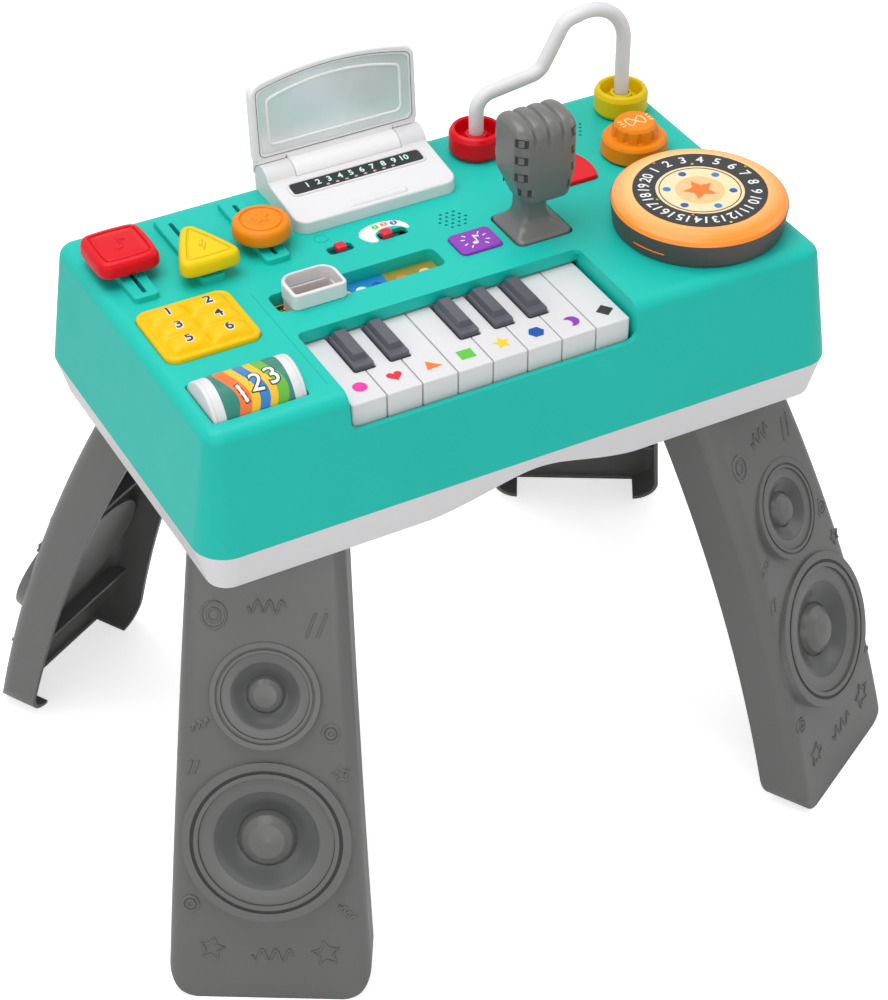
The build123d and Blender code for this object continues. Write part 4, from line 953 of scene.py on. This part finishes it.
legs = {
    "turn": 30.0, "offset": 99.2, "foot": 272.4, "middle": 231.2, "top": 168.0, "high": 284.0, "bulge": 11.0,
    "line": 0.95, "step": 4.0,
    "sides": {"front_right": (1, 1), "front_left": (-1, 1), "rear_right": (1, -1), "rear_left": (-1, -1)},
    "motifs": [
        ("ring", -31.0, 248.0, 7.5, 0.0), ("wave", 1.0, 253.0, 11.0, 0.0), ("slash", 31.0, 243.0, 8.5, 0.0),
        ("ring", 40.0, 180.0, 5.0, 0.0), ("wave", -40.5, 184.0, 6.0, 20.0), ("slash", -45.0, 158.0, 5.0, 0.0),
        ("star", 46.0, 155.0, 5.0, 12.0), ("wave", 49.5, 64.0, 6.5, -50.0), ("ring", -48.5, 68.0, 5.0, 0.0),
        ("star", 36.0, 34.0, 9.0, 10.0), ("wave", 2.0, 32.0, 13.0, 0.0), ("star", -36.0, 36.0, 8.0, -12.0)],
}   # motifs: kind, across, height, size, lean


def fromLeg(x, out, z, side):
    # from a leg's own axes into the table's; out is negative away from the middle
    turn = math.radians(legs["turn"])
    return (side[0] * ((legs["offset"] + x) * math.cos(turn) - out * math.sin(turn)),
            side[1] * ((legs["offset"] + x) * math.sin(turn) + out * math.cos(turn)), z)


def legFace(z):
    # the outer face is an arc through its foot, middle and top
    (y1, z1), (y2, z2), (y3, z3) = (legs["foot"], 0.0), (legs["middle"], legs["high"] / 2), (legs["top"], legs["high"])
    d = 2 * (y1 * (z2 - z3) + y2 * (z3 - z1) + y3 * (z1 - z2))
    a, b, c = y1 * y1 + z1 * z1, y2 * y2 + z2 * z2, y3 * y3 + z3 * z3
    cy = (a * (z2 - z3) + b * (z3 - z1) + c * (z1 - z2)) / d
    cz = (a * (y3 - y2) + b * (y1 - y3) + c * (y2 - y1)) / d
    reach = math.hypot(y1 - cy, z1 - cz)
    return cy + math.copysign(math.sqrt(reach ** 2 - (z - cz) ** 2), y1 - cy)


def motifLines(kind, size):
    if kind == "star":
        return [(starPlan(size, 0.52), True)]
    if kind == "wave":
        return [([(size * x / 12, 0.34 * size * math.sin(math.pi * x / 4)) for x in range(-12, 13)], False)]
    if kind == "slash":
        return [(scaled([(x, -0.8), (x + 0.65, 0.8)], size), False) for x in (-0.7, 0.1)]
    return [(evenPlan(size, 28), True), (evenPlan(0.5 * size, 20), True)]


def dense(points, closed):
    # extra points keep a long line down on the curved face
    ends = points[1:] + points[:1] if closed else points[1:]
    line = []
    for start, end in zip(points, ends):
        count = max(1, int(math.dist(start, end) / legs["step"]))
        line += [(start[0] + (end[0] - start[0]) * k / count, start[1] + (end[1] - start[1]) * k / count)
                 for k in range(count)]
    return line if closed else line + [points[-1]]


def makeLegMotifs():
    for name, side in legs["sides"].items():
        lines = []
        flip = -1 if name in ("front_left", "rear_right") else 1
        for kind, across, height, size, lean in legs["motifs"]:
            for points, closed in motifLines(kind, size):
                plan = dense(moved(turned(points, lean), across, height), closed)
                lines.append(([fromLeg(flip * x, -legFace(z), z, side) for x, z in plan], closed))
        linePiece("legMotifs_" + name, lines, legs["line"], "legGrey", "table")


speakers = {
    "places": [(112.0, 53.0), (202.0, 34.0)], "stand": 0.09, "raise": 0.4, "sides": 96,
    "parts": {
        "Rim": ("legGrey", 0.03, 2, [(0.797, -0.033), (0.72, -0.040), (0.66, -0.048), (0.63, -0.054), (0.615, -0.062)]),
        # painted shade: the bowl and groove are sheets of darker grey laid in the cones and grooves of the loudspeakers
        "Bowl": ("bowlPaintedShade", 0.03, 2, [(0.618, -0.062), (0.59, -0.070), (0.555, -0.084), (0.515, -0.104),
                                       (0.47, -0.130), (0.425, -0.154), (0.385, -0.172), (0.352, -0.182)]),
        "Groove": ("groovePaintedShade", 0.0125, 1, [(0.858, -0.009), (0.894, -0.009)])},
}   # places: height and radius; parts: finish, thickness, how many have it, reaches and rises in shares of the radius


def legOut(z):
    # the bulged line that the loudspeakers stand on
    u = z / legs["high"]
    return legs["foot"] * (1 - u) + legs["top"] * u + 4 * legs["bulge"] * u * (1 - u)


def hoop(z, radius, profile, thick, side):
    # a profile swept round one loudspeaker of one leg
    proud = speakers["stand"] * radius
    lean = math.atan2(legOut(z - radius) - legOut(z + radius), 2 * radius)
    tip = math.pi / 2 - lean - speakers["stand"]
    section = profile + [(reach, rise - thick) for reach, rise in reversed(profile)]
    points = []
    for i in range(speakers["sides"]):
        around = math.tau * i / speakers["sides"]
        for reach, rise in section:
            x, v = reach * radius * math.cos(around), reach * radius * math.sin(around)
            w = rise * radius + proud + speakers["raise"]
            out = v * math.cos(tip) - w * math.sin(tip) - legOut(z)
            points.append(fromLeg(x, out, z + v * math.sin(tip) + w * math.cos(tip), side))
    count, total = len(section), len(points)
    faces = [(i + j, i + (j + 1) % count, (i + count) % total + (j + 1) % count, (i + count) % total + j)
             for i in range(0, total, count) for j in range(count)]
    return points, faces


def makeSpeakers():
    for name, side in legs["sides"].items():
        for part, (finish, thick, many, profile) in speakers["parts"].items():
            shapes = [hoop(z, radius, profile, thick, side) for z, radius in speakers["places"][:many]]
            meshPiece("speaker" + part + "_" + name, gather(shapes), finish, "table")


makeSliderCaps()
makeNumberPad()
makeRollerPrint()
makeKeyIcons()
print("sliders, pad, roller and key marks")
makeWindowPrint()
makeLaptopTrim()
makeLidTrim()
makeSwitchPlate()
makeButtonMarks()
makeMicrophone()
makeTopCrease()
print("window, laptop, switches and button marks")
makeDialPrint()
makeKnobMark()
makeLegMotifs()
makeSpeakers()
print("dial, knob and leg motifs")

view = {"place": (-0.64726, -1.20771, 1.29433), "tilt": 51.130, "turn": -28.328, "lens": 94.42, "sensor": 36.0}
studio = {
    "floorTone": 0.92, "floorGlow": 0.6, "far": 30.0, "sky": 0.44,
    "lamps": [("overheadLamp", (-0.3, 0.2, 1.9), (0.0, 0.0, 0.35), (1.4, 1.4), 20.5),
              ("leftLamp", (-1.7, -0.8, 1.1), (0.0, 0.0, 0.3), (1.0, 1.2), 4.5),
              ("frontLamp", (-0.8, -1.9, 1.0), (0.0, 0.0, 0.35), (1.5, 1.2), 7.5),
              ("rightLamp", (1.6, -0.5, 1.2), (0.0, 0.0, 0.3), (1.0, 1.0), 4.5)],
}   # lamps: name, place, aim, size, power


def makeCamera():
    data = bpy.data.cameras.new("camera")
    data.lens = view["lens"]
    data.sensor_width = view["sensor"]
    camera = added("camera", data)
    camera.location = view["place"]
    camera.rotation_euler = (math.radians(view["tilt"]), 0.0, math.radians(view["turn"]))
    bpy.context.scene.camera = camera


def makeFloor():
    bench = Bench("paleFloor", (studio["floorTone"],) * 3, 0.85)
    # the camera sees a floor that glows white, the object gets none of its light
    seen = bench.node("ShaderNodeLightPath", "Is Camera Ray")
    glow = bench.blendColour(seen, (0, 0, 0, 1), (1, 1, 1, 1))
    bench.set({"Emission Color": glow, "Emission Strength": studio["floorGlow"]})
    mesh = bpy.data.meshes.new("floor")
    far = studio["far"]
    mesh.from_pydata(raised(boxPlan(-far, far, -far, far), 0), [], [(0, 1, 2, 3)])
    mesh.materials.append(bench.material)
    floor = added("floor", mesh)


def makeLamp(name, place, aim, size, power):
    data = bpy.data.lights.new(name, "AREA")
    data.shape = "RECTANGLE"
    data.size, data.size_y = size
    data.energy = power
    lamp = added(name, data)
    lamp.location = place
    lamp.rotation_euler = (Vector(aim) - Vector(place)).to_track_quat("-Z", "Y").to_euler()


def makeWorld():
    # white to the camera and in reflections, dimmer as a lamp
    world = bpy.data.worlds.new("studioSky")
    world.use_nodes = True
    tree = world.node_tree
    back = tree.nodes["Background"]
    back.inputs["Color"].default_value = (1.0, 1.0, 1.0, 1.0)
    path = tree.nodes.new("ShaderNodeLightPath")
    seen = tree.nodes.new("ShaderNodeMath")
    seen.operation = "MAXIMUM"
    level = tree.nodes.new("ShaderNodeMapRange")
    level.inputs["To Min"].default_value = studio["sky"]
    tree.links.new(path.outputs["Is Camera Ray"], seen.inputs[0])
    tree.links.new(path.outputs["Is Glossy Ray"], seen.inputs[1])
    tree.links.new(seen.outputs["Value"], level.inputs["Value"])
    tree.links.new(level.outputs["Result"], back.inputs["Strength"])
    bpy.context.scene.world = world


makeCamera()
makeFloor()
makeWorld()
for lamp in studio["lamps"]:
    makeLamp(*lamp)
bpy.context.scene.view_settings.view_transform = "Standard"
print("camera, floor and lamps")
